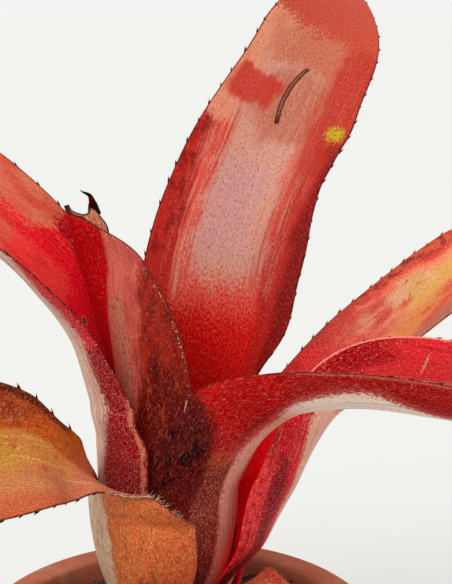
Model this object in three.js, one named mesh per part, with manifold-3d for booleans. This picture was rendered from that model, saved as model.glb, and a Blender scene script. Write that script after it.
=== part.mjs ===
// A potted neoregelia: a rosette of stiff, spiny strap leaves whose sheaths nest round a
// central tank, on a short caudex that stands in a plain pot of bark mix.
// Millimetres, +Z up. The origin is at the middle of the pot's foot.
import * as THREE from "three";
import { mergeVertices } from "three/addons/utils/BufferGeometryUtils.js";
import Module from "manifold-3d";

const wasm = await Module();
wasm.setup();

// ---- driving dimensions ----

// pot
const POT_HEIGHT = 80;
const POT_FOOT_RADIUS = 31;
const POT_MOUTH_RADIUS = 42;
const POT_WALL = 4;
const POT_FLOOR = 5;
const POT_ROUNDING = 1.5;
const POT_SIDES = 40;
const RIM_HEIGHT = 15;
const RIM_OVERHANG = 3;
const DRAIN_RADIUS = 4;
const DRAIN_OFFSET = 17;
const DRAIN_COUNT = 3;
const DRAIN_SIDES = 16;

// growing mix, with the upper chips in relief: [least, most] of each size
const MIX_BELOW_RIM = 4;
const CHIP_COUNT = 46;
const CHIP_LENGTH = [6, 13];
const CHIP_WIDTH = [3.5, 6.5];
const CHIP_THICKNESS = 3.2;
const CHIP_LIFT = [-0.4, 0.4];
const CHIP_TILT = [-0.35, 0.35]; // radians
const CHIPS_FROM = 14; // distance from the axis
const CHIP_TURN = 2.4; // radians from one chip to the next
const CHIP_SEED = 11;

// caudex below the plant's zero: [radius, height]
const CAUDEX_STUMP = [
  [5, -42],
  [8, -38],
  [10.5, -18],
  [11.5, -6],
  [12.2, -1.5],
];
const CAUDEX_SIDES = 32;
const ROOT_SEAT = 0.75; // from the middle of a sheath's foot in to the caudex

// the plant's own zero is where its outermost sheath is rooted, this far above the pot's rim
const PLANT_ABOVE_RIM = 3;
const PLANT_Z = POT_HEIGHT + PLANT_ABOVE_RIM;

// leaves
const SHEATH_PITCH = 1.2; // from one nested sheath to the next
const SHEATH_THICKNESS = 0.8;
const KEEL_THICKNESS = 1.1;
const MARGIN_THICKNESS = 0.62;
const SPINE_THICKNESS = 0.36;
const SPINE_SPACING = 4.8;
const SPINE_BASE = 1.7;
const SPINE_SWEEP = 0.35; // how far a spine's point leans on towards the tip, per mm of height
const SPINE_SEED = 5;
const TIP_CUSP = 1.6; // the small hard point beyond the rounded tip

// clearance between pieces that touch
const GAP = 0.3;

// innermost sheath's radius up the tank: [height, radius]
const TANK = [
  [0, 4.0],
  [10, 8.2],
  [20, 10.2],
  [30, 10.8],
  [45, 11.2],
  [60, 12.0],
];

// Each leaf: azimuth of its keel (degrees, from +X towards +Y), its sheath's place in the
// nest (0 innermost), the heights where the sheath is rooted and where the blade leaves it,
// and the sheath's half widths [left, right] in degrees of arc at root, middle and neck.
// Left and right are those of somebody who stands in the tank and looks out at the leaf.
// A blade row is one station along the keel:
// [x, y, z, roll, left width, right width, left curl, right curl], in mm and degrees.
// A wave row is [place along the keel, left, right]: what a waved margin stands out by, in mm.
const LEAVES = [
  {
    name: "leaf_heart", azimuth: 250, level: 0, root: 8, neck: 18,
    sheath: [[70, 70], [80, 80], [75, 75]],
    blade: [
      [-2.8, -7, 27, 0, 9, 9, 90, 90],
      [-1.5, -4.5, 35, 0, 7, 7, 90, 90],
      [0, -2.5, 42, 0, 4.5, 4.5, 80, 80],
    ],
    tip: 18, spines: 0.4, spineFrom: 12, color: 0xb8303a,
  },
  {
    name: "leaf_inner_left", azimuth: 165, level: 1, root: 7, neck: 40,
    sheath: [[60, 60], [100, 70], [115, 60]],
    blade: [
      [-13, 3.5, 50, -15, 24.3, 12, 112, 75],
      [-16, 4.5, 62, -30, 22, 10.6, 98, 90],
      [-18.8, 5.5, 72, -38, 17.5, 9.2, 90, 115],
      [-21.7, 6.5, 82, -42, 10.5, 8.6, 80, 105],
      [-23.7, 8, 89.5, -42, 2, 8.8, 50, 60],
    ],
    waves: [[0, 0, 0], [30, 0, 0], [36, 0, 2], [41, 0, 3.4], [45, 0, 2.9], [48, 0, 1.6], [51, 0, 0.8]],
    // the tip is bitten: a point at the keel, a shallow round notch, and a dry claw beyond it
    bite: { reach: 10, at: [-1, -0.5, 0, 0.26, 0.52, 0.78, 1], depth: [3.6, 1.9, 0, 1.2, 2.1, 2.2, 0] },
    claw: { beyond: 3, at: 1, from: 0.9 },
    tip: 0, spines: 0, spineFrom: 0, color: 0xa01824,
  },
  {
    name: "leaf_front_right", azimuth: -12, level: 2, root: 6, neck: 28,
    sheath: [[60, 60], [74, 100], [60, 109]],
    blade: [
      [14.9, -3.8, 34.5, 3, 8, 25.5, 36, 92],
      [18.6, -5.1, 41.4, 4, 4.2, 24.2, 28, 80],
      [25.3, -8.4, 47.6, 9, 4.8, 20.2, 24, 65],
      [34.6, -10.7, 49.8, 13.5, 8, 15.9, 22, 60],
      [57, -14.2, 48.7, 4, 11.5, 15.9, 25, 73],
      [78.4, -17.1, 45.8, -0.5, 12, 17.3, 25, 56],
      [98.3, -19.9, 36.3, 6, 9, 10.2, 20, 27],
    ],
    tip: 30, spines: 0.3, spineFrom: 34, color: 0xb5202a,
  },
  {
    name: "leaf_back", azimuth: 70, level: 3, root: 5, neck: 26,
    sheath: [[55, 55], [68, 56], [66, 40]],
    blade: [
      [6, 15.5, 39, -4, 14.5, 13.5, 62, 38],
      [8.5, 18.5, 58, -12, 18, 17.5, 44, 38],
      [12, 23, 78, -24, 17.8, 18, 32, 32],
      [19.5, 31, 98, -34, 17.5, 17.5, 28, 28],
      [29.8, 43, 118, -38, 15.5, 15, 24, 24],
      [37.5, 57, 130, -34, 13.5, 13.5, 20, 20],
      [42, 72, 137, -25, 12, 12, 15, 15],
    ],
    waves: [
      [0, 0, 0], [26, 0.5, 0], [34, 0.9, 2.2], [46, 1.1, 1.7], [56, 1, 1.4], [66, 0.4, -0.4],
      [72, 0.1, -1.1], [80, -0.5, -0.1], [88, -1.1, 1.1], [96, -1.5, 0.9], [110, -0.6, 1], [125, 0, 0],
    ],
    tip: 34, spines: 0.5, spineFrom: 22, color: 0xcc1c28,
  },
  {
    name: "leaf_right", azimuth: 18, level: 4, root: 4, neck: 8,
    sheath: [[50, 52], [54, 62], [52, 66]],
    blade: [
      [18, 6.3, 15.2, 0, 15, 21.5, 48, 70],
      [24.5, 8.3, 24.5, 6, 11, 21.2, 70, 84],
      [30.9, 10.5, 35.1, 20, 10, 18.5, 58, 74],
      [37.5, 12.5, 43.1, 38, 9, 16.3, 28, 60],
      [57.7, 17.5, 44.6, 33.5, 9.5, 17.4, 28, 54],
      [78.1, 21, 42.8, 21.5, 11, 15.1, 25, 38],
      [100, 25, 33.9, 7.5, 10, 11.1, 20, 27],
    ],
    tip: 32, spines: 0.4, spineFrom: 26, color: 0xb02438,
  },
  {
    name: "leaf_left", azimuth: 172, level: 5, root: 3, neck: 40,
    sheath: [[55, 55], [77, 62], [80, 50]],
    blade: [
      [-17.5, 3, 48.3, 0, 21.5, 15, 95, 44],
      [-20.5, 4, 60.2, 5, 19.5, 17, 70, 52],
      [-27.6, 5, 72.3, 15, 18.5, 15.8, 63, 58],
      [-39, 6, 83.5, 22, 14, 16.2, 60, 62],
      [-56, 8, 92, 22, 13, 18.6, 45, 55],
      [-76, 10, 93, 12, 13, 13.8, 40, 40],
      [-93, 12, 84, 5, 9, 9, 20, 20],
    ],
    tip: 34, spines: 0.5, spineFrom: 26, color: 0xcc3048,
  },
  {
    name: "leaf_back_right", azimuth: 42, level: 6, root: 2, neck: 9,
    sheath: [[50, 50], [56, 42], [54, 28]],
    blade: [
      [17.3, 15.6, 17.9, 0, 13, 4.6, 40, 8],
      [22.5, 21.5, 29.1, 1.5, 11.8, 6.5, 40, 12],
      [31.5, 31.5, 39.6, 8, 12.1, 8.2, 35, 34],
      [48, 44.5, 51.4, -4.5, 13.3, 15.1, 28.5, 21],
      [68, 54, 63.7, -2, 16.3, 20.6, 25, 23],
      [89, 66, 70.5, -2.5, 16.4, 15.5, 23.5, 26],
      [107, 78, 61, 0.5, 9.1, 8.9, 15, 16],
    ],
    tip: 36, spines: 0.6, spineFrom: 30, color: 0xd98a4a,
  },
  {
    name: "leaf_outer_left", azimuth: 214, level: 7, root: 1, neck: 27,
    sheath: [[50, 50], [70, 48], [70, 45]],
    blade: [
      [-17, -12, 33.8, 20, 17, 6.6, 44, 40],
      [-19.5, -15.5, 38.2, 30, 11, 7, 20, 67],
      [-23, -20.5, 43.5, 48, 12.5, 7, 10, 30],
      [-28.5, -27.5, 48, 41, 16, 10, 5, 73],
      [-41, -41, 51, 39.5, 17.5, 15, 5, 73],
      [-56, -56, 49, 18, 15, 13.7, 15, 15],
      [-70, -68, 39, 0, 9, 9, 10, 10],
    ],
    tip: 34, spines: 1.2, spineFrom: 14, settle: 9, color: 0xd9823c,
  },
  {
    name: "leaf_outer_back", azimuth: 100, level: 8, root: 0, neck: 7,
    sheath: [[45, 42], [48, 40], [44, 34]],
    blade: [
      [-4, 22, 17, 0, 13, 10, 34, 22],
      [-5, 32, 29, 0, 13, 14, 35, 30],
      [-6, 44, 39, 0, 14, 15, 30, 30],
      [-7, 59, 45, 0, 14, 14, 25, 25],
      [-9, 76, 46, 0, 13, 13, 20, 20],
      [-11, 92, 39, 0, 9, 9, 15, 15],
    ],
    tip: 32, spines: 0.8, spineFrom: 24, color: 0xd08048,
  },
  {
    name: "leaf_outer_front", azimuth: 288, level: 8, root: 0, neck: 6,
    sheath: [[45, 45], [48, 48], [46, 46]],
    blade: [
      [6.5, -20, 11, 0, 15, 15, 40, 40],
      [9, -29, 15, 0, 14, 14, 35, 35],
      [13, -42, 15, 0, 14, 14, 30, 30],
      [17, -56, 9, 0, 13, 13, 25, 25],
      [21, -69, -2, 0, 9, 9, 15, 15],
    ],
    tip: 30, spines: 0.8, spineFrom: 20, color: 0xd48a50,
  },
];

// ---- small tools ----

const rad = THREE.MathUtils.degToRad;
const clamp = THREE.MathUtils.clamp;
const smooth = (x, from, to) => THREE.MathUtils.smoothstep(x, from, to);

// A seeded draw of numbers between two limits.
function draws(seed) {
  let state = seed;
  return ([least, most]) => {
    state = (state * 1664525 + 1013904223) % 4294967296;
    return least + ((most - least) * state) / 4294967296;
  };
}

// A smooth curve through values at uneven stations. A value is a list of numbers.
// The slope at the first station can be given.
function curveThrough(stations, values, firstSlope) {
  const last = stations.length - 1;
  const step = (i, c) => (values[i + 1][c] - values[i][c]) / (stations[i + 1] - stations[i]);
  const slopes = values.map((value, i) =>
    value.map((_, c) => {
      if (i === 0) return firstSlope ? firstSlope[c] : step(0, c);
      if (i === last) return step(last - 1, c);
      const before = stations[i] - stations[i - 1];
      const after = stations[i + 1] - stations[i];
      return (step(i - 1, c) * after + step(i, c) * before) / (before + after);
    }),
  );
  return (t) => {
    const at = clamp(t, stations[0], stations[last]);
    let i = 0;
    while (i < last - 1 && at > stations[i + 1]) i++;
    const length = stations[i + 1] - stations[i];
    const f = (at - stations[i]) / length;
    const f2 = f * f;
    const f3 = f2 * f;
    return values[i].map(
      (start, c) =>
        (2 * f3 - 3 * f2 + 1) * start +
        (f3 - 2 * f2 + f) * length * slopes[i][c] +
        (3 * f2 - 2 * f3) * values[i + 1][c] +
        (f3 - f2) * length * slopes[i + 1][c],
    );
  };
}

// A straight-line reading of a table of values.
function readOff(stations, values, x) {
  let i = 0;
  while (i < stations.length - 2 && x > stations[i + 1]) i++;
  const f = clamp((x - stations[i]) / (stations[i + 1] - stations[i]), 0, 1);
  return values[i] + (values[i + 1] - values[i]) * f;
}

// ---- one leaf ----

const tankRadius = curveThrough(TANK.map(([z]) => z), TANK.map(([, r]) => [r]));
const sheathRadius = (level, z) => tankRadius(z)[0] + SHEATH_PITCH * level;

// The leaf's middle surface as a function of t, mm along the keel from the neck (negative
// down the sheath), and u, from -1 at the left margin to 1 at the right one.
function leafSurface(leaf) {
  const azimuth = rad(leaf.azimuth);
  const radial = new THREE.Vector3(Math.cos(azimuth), Math.sin(azimuth), 0);
  const neckRadius = sheathRadius(leaf.level, leaf.neck);
  const neckArc = leaf.sheath[leaf.sheath.length - 1];

  const keelPoints = [
    radial.clone().multiplyScalar(neckRadius).setZ(leaf.neck),
    ...leaf.blade.map(([x, y, z]) => new THREE.Vector3(x, y, z)),
  ];
  const stations = [0];
  for (let i = 1; i < keelPoints.length; i++)
    stations.push(stations[i - 1] + keelPoints[i].distanceTo(keelPoints[i - 1]));
  const length = stations[stations.length - 1];

  const wallSlope =
    (sheathRadius(leaf.level, leaf.neck + 1) - sheathRadius(leaf.level, leaf.neck - 1)) / 2;
  const neckSlope = radial.clone().multiplyScalar(wallSlope).setZ(1).normalize();
  const keelCurve = curveThrough(stations, keelPoints.map((p) => p.toArray()), neckSlope.toArray());
  const keelAt = (t) => new THREE.Vector3(...keelCurve(t));
  const neckRow = [
    0,
    neckRadius * rad(neckArc[0]),
    neckRadius * rad(neckArc[1]),
    neckArc[0],
    neckArc[1],
  ];
  const sections = curveThrough(stations, [neckRow, ...leaf.blade.map((row) => row.slice(3))]);
  const waveRows = leaf.waves ?? [[0, 0, 0], [length, 0, 0]];
  const waves = curveThrough(waveRows.map(([t]) => t), waveRows.map((row) => row.slice(1)));
  const arcs = curveThrough(leaf.sheath.map((_, i) => i / (leaf.sheath.length - 1)), leaf.sheath);
  const sheathLength = leaf.neck - leaf.root;

  // How far the blade has closed towards its tip: 1 along it, 0 at the tip.
  const closing = (t) => {
    if (!leaf.tip) return 1;
    const x = clamp((t - (length - leaf.tip)) / leaf.tip, 0, 1);
    return Math.max(1 - x * x, 0) ** 0.6;
  };

  const halfWidth = (t, side) => {
    if (t <= 0) {
      const z = leaf.neck + t;
      const arc = arcs((z - leaf.root) / sheathLength)[side < 0 ? 0 : 1];
      return sheathRadius(leaf.level, z) * rad(arc);
    }
    return sections(t)[side < 0 ? 1 : 2] * closing(t) + waves(t)[side < 0 ? 0 : 1];
  };

  const sheathPoint = (t, u) => {
    const z = leaf.neck + t;
    const radius = sheathRadius(leaf.level, z);
    const side = u < 0 ? -1 : 1;
    const angle = azimuth - (u * halfWidth(t, side)) / radius;
    return new THREE.Vector3(radius * Math.cos(angle), radius * Math.sin(angle), z);
  };

  const bladePoint = (t, u) => {
    const keel = keelAt(t);
    const along = keelAt(Math.min(t + 0.5, length)).sub(keelAt(Math.max(t - 0.5, 0))).normalize();
    const reach = Math.hypot(along.x, along.y);
    let lean = Math.atan2(reach, along.z);
    let turn = Math.atan2(along.y, along.x) - azimuth;
    turn = THREE.MathUtils.euclideanModulo(turn + Math.PI, 2 * Math.PI) - Math.PI;
    if (Math.abs(turn) > Math.PI / 2) {
      turn -= Math.sign(turn) * Math.PI;
      lean = -lean;
    }
    const free = smooth(t, 0, leaf.settle ?? 18);
    const heading = azimuth + turn * free;
    const upper = new THREE.Vector3(
      -Math.cos(heading) * Math.cos(lean),
      -Math.sin(heading) * Math.cos(lean),
      Math.sin(lean),
    );
    // sections lie flat in the sheath and square to the keel in the blade
    const axis = along.multiplyScalar(free).add(new THREE.Vector3(0, 0, 1 - free)).normalize();
    upper.addScaledVector(axis, -upper.dot(axis)).normalize();
    const across = new THREE.Vector3().crossVectors(axis, upper);
    const [roll, , , leftCurl, rightCurl] = sections(t);
    across.applyAxisAngle(axis, -rad(roll)); // a positive roll lifts the right margin
    upper.applyAxisAngle(axis, -rad(roll));

    const side = u < 0 ? -1 : 1;
    const width = halfWidth(t, side);
    const curl = rad(side < 0 ? leftCurl : rightCurl) * (0.3 + 0.7 * closing(t));
    const bendRadius = width / curl;
    const swept = curl * Math.abs(u);
    return keel
      .addScaledVector(across, side * bendRadius * Math.sin(swept))
      .addScaledVector(upper, bendRadius * (1 - Math.cos(swept)));
  };

  const pointAt = (t, u) => (t <= 0 ? sheathPoint(t, u) : bladePoint(t, u));

  // the direction that the inner face looks in
  const normalAt = (t, u) => {
    const mid = clamp(u, -0.99, 0.99);
    const early = clamp(t, -sheathLength, length - 0.5);
    const across = pointAt(early, mid + 0.01).sub(pointAt(early, mid - 0.01));
    const along = pointAt(early + 0.25, mid).sub(pointAt(early - 0.25, mid));
    return across.cross(along).normalize();
  };

  return { pointAt, normalAt, halfWidth, length, sheathLength };
}

const COLUMNS = [-1, -0.78, -0.52, -0.26, 0, 0.26, 0.52, 0.78, 1];
const SHEATH_ROW_STEP = 5;
const BLADE_ROW_STEP = 5.5;
const TIP_ROWS = [0.82, 0.93, 0.98]; // shares of the closing tip that get a row

// The leaf as one closed solid: one net of triangles on both faces, with the marginal
// spines as part of it, and a rim all round.
function leafGeometry(leaf) {
  const surface = leafSurface(leaf);
  const { length, sheathLength } = surface;
  const net = []; // [t, u, thickness]
  const triangles = [];
  const vertex = (t, u, thickness) => net.push([t, u, thickness]) - 1;

  const rows = [];
  const sheathSteps = Math.max(2, Math.round(sheathLength / SHEATH_ROW_STEP));
  for (let i = 0; i < sheathSteps; i++) rows.push(-sheathLength + (sheathLength * i) / sheathSteps);
  const bodyEnd = length - (leaf.tip ? leaf.tip * 0.45 : 0);
  const bladeSteps = Math.round(bodyEnd / BLADE_ROW_STEP);
  for (let i = 0; i <= bladeSteps; i++) rows.push((bodyEnd * i) / bladeSteps);
  if (leaf.tip) TIP_ROWS.forEach((share) => rows.push(length - leaf.tip * (1 - share)));
  const lastRow = rows.length - 1;

  // a bite draws the rows back near the tip
  const drawn = (t, u) => {
    if (!leaf.bite) return t;
    const { reach, at, depth } = leaf.bite;
    return t - readOff(at, depth, u) * smooth(t, length - reach, length);
  };
  const thicknessAt = (t, u) => {
    const blade = THREE.MathUtils.lerp(KEEL_THICKNESS, MARGIN_THICKNESS, Math.abs(u) ** 1.5);
    return THREE.MathUtils.lerp(SHEATH_THICKNESS, blade, smooth(t, 0, 25));
  };

  const inner = COLUMNS.slice(1, -1);
  const grid = rows.map((t) => inner.map((u) => vertex(drawn(t, u), u, thicknessAt(t, u))));
  for (let i = 0; i < lastRow; i++)
    for (let j = 0; j < inner.length - 1; j++) {
      const [a, b, c, d] = [grid[i][j], grid[i][j + 1], grid[i + 1][j + 1], grid[i + 1][j]];
      triangles.push([a, b, c], [a, c, d]);
    }

  // margins: a finer line with spines, joined to the outermost inner column
  const draw = draws(SPINE_SEED + leaf.level * 7 + Math.round(leaf.azimuth));
  const margin = (side) => {
    const line = rows.map((t) => ({ t }));
    const spineEnd = length - (leaf.tip ? leaf.tip * 0.18 : 10);
    let at = leaf.spineFrom + draw([0, SPINE_SPACING]);
    const spines = [];
    while (leaf.spines && at < spineEnd) {
      const size = draw([0.75, 1.25]);
      spines.push({ from: at, to: at + SPINE_BASE * size, height: leaf.spines * size });
      at += draw([0.75, 1.25]) * SPINE_SPACING;
    }
    for (const spine of spines) {
      // a row that falls at a spine moves to the nearer end of its base
      const near = line.find((p) => p.t > spine.from - 0.6 && p.t < spine.to + 0.6);
      const ends = [spine.from, spine.to];
      if (near) near.t = near.t < (spine.from + spine.to) / 2 ? ends.shift() : ends.pop();
      ends.forEach((t) => line.push({ t }));
    }
    line.sort((p, q) => p.t - q.t);
    for (const p of line)
      p.index = vertex(drawn(p.t, side), side, thicknessAt(p.t, 1));

    // stitch the two lines together, always by the shorter step
    const column = side < 0 ? 0 : inner.length - 1;
    let i = 0;
    let k = 0;
    while (i < lastRow || k < line.length - 1) {
      const stepColumn = k === line.length - 1 || (i < lastRow && rows[i + 1] <= line[k + 1].t);
      const a = grid[i][column];
      const b = line[k].index;
      const c = stepColumn ? grid[++i][column] : line[++k].index;
      triangles.push(side < 0 ? [b, a, c] : [a, b, c]);
    }

    const edge = line.map((p) => p.index);
    for (const spine of spines) {
      const start = edge.indexOf(line.find((p) => p.t === spine.from).index);
      const end = edge.indexOf(line.find((p) => p.t === spine.to).index);
      const width = surface.halfWidth(spine.to, side);
      const tip = vertex(
        spine.to + SPINE_SWEEP * spine.height,
        side * (1 + spine.height / width),
        SPINE_THICKNESS,
      );
      const foot = edge[start];
      const heel = edge[end];
      triangles.push(side < 0 ? [foot, heel, tip] : [foot, tip, heel]);
      edge.splice(end, 0, tip);
    }
    return edge;
  };
  const left = margin(-1);
  const right = margin(1);

  // tip: the last row runs together in one point, or its far part does, as a claw
  const lastLine = [left[left.length - 1], ...grid[lastRow], right[right.length - 1]];
  const clawFrom = leaf.claw ? COLUMNS.findIndex((u) => u >= leaf.claw.from) - 1 : 0;
  const point = leaf.claw
    ? vertex(length + leaf.claw.beyond, leaf.claw.at, SPINE_THICKNESS)
    : vertex(length + TIP_CUSP, 0, SPINE_THICKNESS);
  for (let j = clawFrom; j < lastLine.length - 1; j++)
    triangles.push([lastLine[j], lastLine[j + 1], point]);

  const loop = [
    left[0],
    ...grid[0],
    ...right,
    point,
    ...lastLine.slice(1, clawFrom + 1).reverse(),
    ...left.slice(1).reverse(),
  ];
  return thicken(surface, net, triangles, loop);
}

// Offsets the net to both sides and closes the rim along the loop.
function thicken(surface, net, triangles, loop) {
  const count = net.length;
  const positions = new Float32Array(count * 6);
  net.forEach(([t, u, thickness], i) => {
    const overrun = Math.max(t - surface.length, 0);
    const middle = surface.pointAt(t - overrun, u);
    if (overrun) {
      const back = surface.pointAt(surface.length - 2, u);
      middle.addScaledVector(middle.clone().sub(back), overrun / 2);
    }
    const offset = surface.normalAt(t, u).multiplyScalar(thickness / 2);
    middle.clone().add(offset).toArray(positions, i * 3);
    middle.clone().sub(offset).toArray(positions, (count + i) * 3);
  });
  const index = [];
  for (const [a, b, c] of triangles) index.push(a, b, c, count + a, count + c, count + b);
  loop.forEach((a, i) => {
    const b = loop[(i + 1) % loop.length];
    index.push(a, count + a, count + b, a, count + b, b);
  });
  const geometry = new THREE.BufferGeometry();
  geometry.setAttribute("position", new THREE.BufferAttribute(positions, 3));
  geometry.setIndex(index);
  return geometry;
}

// ---- solids ----

// A three.js geometry as a manifold solid, and back.
function solidFrom(geometry) {
  const bare = geometry.clone();
  bare.deleteAttribute("normal");
  bare.deleteAttribute("uv");
  const merged = mergeVertices(bare, 1e-3);
  return new wasm.Manifold(
    new wasm.Mesh({
      numProp: 3,
      vertProperties: merged.attributes.position.array,
      triVerts: new Uint32Array(merged.index.array),
    }),
  );
}

function geometryFrom(solid) {
  const mesh = solid.getMesh();
  const geometry = new THREE.BufferGeometry();
  geometry.setAttribute("position", new THREE.BufferAttribute(mesh.vertProperties, 3));
  geometry.setIndex(new THREE.BufferAttribute(mesh.triVerts, 1));
  return geometry;
}

// A turned solid from its profile of [radius, height] points, from axis to axis.
function turned(profile, sides) {
  const lathe = new THREE.LatheGeometry(profile.map(([r, z]) => new THREE.Vector2(r, z)), sides);
  return lathe.rotateX(Math.PI / 2);
}

// ---- pot: thrown clay, with a rim band and three drain holes off the middle ----

const wallSlope = (POT_MOUTH_RADIUS - POT_FOOT_RADIUS) / POT_HEIGHT;
const outerRadius = (z) => POT_FOOT_RADIUS + wallSlope * z;
const innerRadius = (z) => outerRadius(z) - POT_WALL;
const rimBottom = POT_HEIGHT - RIM_HEIGHT;

function potGeometry() {
  let pot = solidFrom(
    turned(
      [
        [0, 0],
        [POT_FOOT_RADIUS - POT_ROUNDING, 0],
        [POT_FOOT_RADIUS, POT_ROUNDING],
        [outerRadius(rimBottom), rimBottom],
        [outerRadius(rimBottom) + RIM_OVERHANG, rimBottom + POT_ROUNDING],
        [outerRadius(POT_HEIGHT) + RIM_OVERHANG, POT_HEIGHT - POT_ROUNDING],
        [outerRadius(POT_HEIGHT) + RIM_OVERHANG - POT_ROUNDING, POT_HEIGHT],
        [innerRadius(POT_HEIGHT) + POT_ROUNDING, POT_HEIGHT],
        [innerRadius(POT_HEIGHT), POT_HEIGHT - POT_ROUNDING],
        [innerRadius(POT_FLOOR), POT_FLOOR],
        [0, POT_FLOOR],
      ],
      POT_SIDES,
    ),
  );
  for (let i = 0; i < DRAIN_COUNT; i++) {
    const angle = (2 * Math.PI * i) / DRAIN_COUNT;
    const drill = new THREE.CylinderGeometry(
      DRAIN_RADIUS,
      DRAIN_RADIUS,
      POT_FLOOR * 3,
      DRAIN_SIDES,
    );
    drill.rotateX(Math.PI / 2);
    drill.translate(DRAIN_OFFSET * Math.cos(angle), DRAIN_OFFSET * Math.sin(angle), POT_FLOOR / 2);
    pot = pot.subtract(solidFrom(drill));
  }
  return geometryFrom(pot);
}

// ---- caudex: the short woody stem that carries every sheath ----

const sheathFoot = (leaf) => [sheathRadius(leaf.level, leaf.root) - ROOT_SEAT, leaf.root];
const caudexSteps = LEAVES.map(sheathFoot)
  .sort((a, b) => a[1] - b[1])
  .filter(([, z], i, all) => i === 0 || z > all[i - 1][1]);
const caudexFoot = CAUDEX_STUMP[0][1];

function caudexGeometry() {
  const [radius, z] = caudexSteps[caudexSteps.length - 1];
  return turned(
    [[0, caudexFoot], ...CAUDEX_STUMP, ...caudexSteps, [radius / 2, z + radius / 2], [0, z + radius]],
    CAUDEX_SIDES,
  );
}

// ---- growing mix: a plug of bark that fills the pot, open for the caudex ----

const MIX_TOP = POT_HEIGHT - MIX_BELOW_RIM;

function mixGeometry() {
  const draw = draws(CHIP_SEED);
  const edge = innerRadius(MIX_TOP) - GAP;
  let mix = solidFrom(
    turned(
      [
        [0, POT_FLOOR + GAP],
        [innerRadius(POT_FLOOR) - GAP, POT_FLOOR + GAP],
        [edge, MIX_TOP],
        [0, MIX_TOP],
      ],
      POT_SIDES,
    ),
  );
  for (let i = 0; i < CHIP_COUNT; i++) {
    const length = draw(CHIP_LENGTH);
    const chip = new THREE.BoxGeometry(length, draw(CHIP_WIDTH), CHIP_THICKNESS);
    const outermost = edge - 0.6 * length - 1;
    const distance = CHIPS_FROM + (outermost - CHIPS_FROM) * Math.sqrt(draw([0, 1]));
    chip.rotateX(draw(CHIP_TILT));
    chip.rotateY(draw(CHIP_TILT));
    chip.rotateZ(draw([0, Math.PI]));
    chip.translate(
      distance * Math.cos(CHIP_TURN * i),
      distance * Math.sin(CHIP_TURN * i),
      MIX_TOP + draw(CHIP_LIFT),
    );
    mix = mix.add(solidFrom(chip));
  }
  const mouth = CAUDEX_STUMP[CAUDEX_STUMP.length - 1][0] + 2 * GAP;
  const hole = turned(
    [
      [0, caudexFoot - GAP],
      ...CAUDEX_STUMP.map(([r, z]) => [r + GAP, z - GAP]),
      [mouth, PLANT_ABOVE_RIM],
      [0, PLANT_ABOVE_RIM],
    ],
    CAUDEX_SIDES,
  );
  hole.translate(0, 0, PLANT_Z);
  return geometryFrom(mix.subtract(solidFrom(hole)));
}

// ---- the assembly ----

const clay = new THREE.MeshStandardMaterial({ color: 0xb5653f, roughness: 0.9, metalness: 0 });
const bark = new THREE.MeshStandardMaterial({ color: 0x4a3324, roughness: 1, metalness: 0 });
const stem = new THREE.MeshStandardMaterial({ color: 0x6b4a32, roughness: 0.9, metalness: 0 });

function piece(name, geometry, material) {
  const mesh = new THREE.Mesh(geometry, material);
  mesh.name = name;
  return mesh;
}

const potted = new THREE.Group();
potted.add(piece("pot", potGeometry(), clay));
potted.add(piece("growing_mix", mixGeometry(), bark));

const plant = new THREE.Group();
plant.position.z = PLANT_Z;
plant.add(piece("caudex", caudexGeometry(), stem));
for (const leaf of LEAVES) {
  const skin = new THREE.MeshStandardMaterial({
    color: leaf.color,
    roughness: 0.5,
    metalness: 0,
    side: THREE.DoubleSide,
  });
  plant.add(piece(leaf.name, leafGeometry(leaf), skin));
}
potted.add(plant);

export default potted;
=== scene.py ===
import math

import bmesh
import bpy
import numpy as np
from mathutils import Matrix, Vector


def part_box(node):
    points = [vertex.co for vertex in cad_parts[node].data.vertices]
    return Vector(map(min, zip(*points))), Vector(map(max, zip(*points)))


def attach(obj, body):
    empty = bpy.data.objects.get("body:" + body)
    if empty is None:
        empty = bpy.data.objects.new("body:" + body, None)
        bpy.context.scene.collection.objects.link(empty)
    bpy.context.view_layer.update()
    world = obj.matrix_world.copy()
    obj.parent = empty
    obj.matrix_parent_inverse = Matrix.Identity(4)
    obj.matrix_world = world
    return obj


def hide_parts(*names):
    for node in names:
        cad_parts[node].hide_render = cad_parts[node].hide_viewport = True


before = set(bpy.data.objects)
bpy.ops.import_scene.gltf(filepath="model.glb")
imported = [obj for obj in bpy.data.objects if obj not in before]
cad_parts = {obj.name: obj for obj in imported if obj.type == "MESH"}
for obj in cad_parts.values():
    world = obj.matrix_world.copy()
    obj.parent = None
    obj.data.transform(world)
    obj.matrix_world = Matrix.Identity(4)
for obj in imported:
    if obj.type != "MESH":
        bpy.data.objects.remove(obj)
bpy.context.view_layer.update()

scene = bpy.context.scene


# ---- Camera and studio ----
# A camera on a level stand, 28 cm off and 12 degrees above the rosette, a pale sheet of
# paper that runs out to the horizon, an even white room, and one large soft lamp.

CAMERA_TARGET = Vector((0.0108, 0, 0.155))
CAMERA_DISTANCE = 0.28
CAMERA_ABOVE = math.radians(12)
CAMERA_LENS = 81.04  # mm, on a 36 mm sensor
PAPER_SIZE = 60
PAPER_COLOUR = (0.672, 0.672, 0.657, 1)
ROOM_COLOUR = (1, 1, 0.98, 1)
ROOM_STRENGTH = 0.9
LAMP_STRENGTH = 1.75
LAMP_WIDTH = math.radians(38)
LAMP_FROM = Vector((-0.35, -0.75, 1.0))

camera_data = bpy.data.cameras.new("camera")
camera_data.lens = CAMERA_LENS
camera_data.clip_start = 0.01
camera_data.clip_end = 2 * PAPER_SIZE
camera = bpy.data.objects.new("camera", camera_data)
back_and_up = Vector((0, -math.cos(CAMERA_ABOVE), math.sin(CAMERA_ABOVE)))
camera.location = CAMERA_TARGET + CAMERA_DISTANCE * back_and_up
camera.rotation_euler = (math.pi / 2 - CAMERA_ABOVE, 0, 0)
scene.collection.objects.link(camera)
scene.camera = camera

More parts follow.
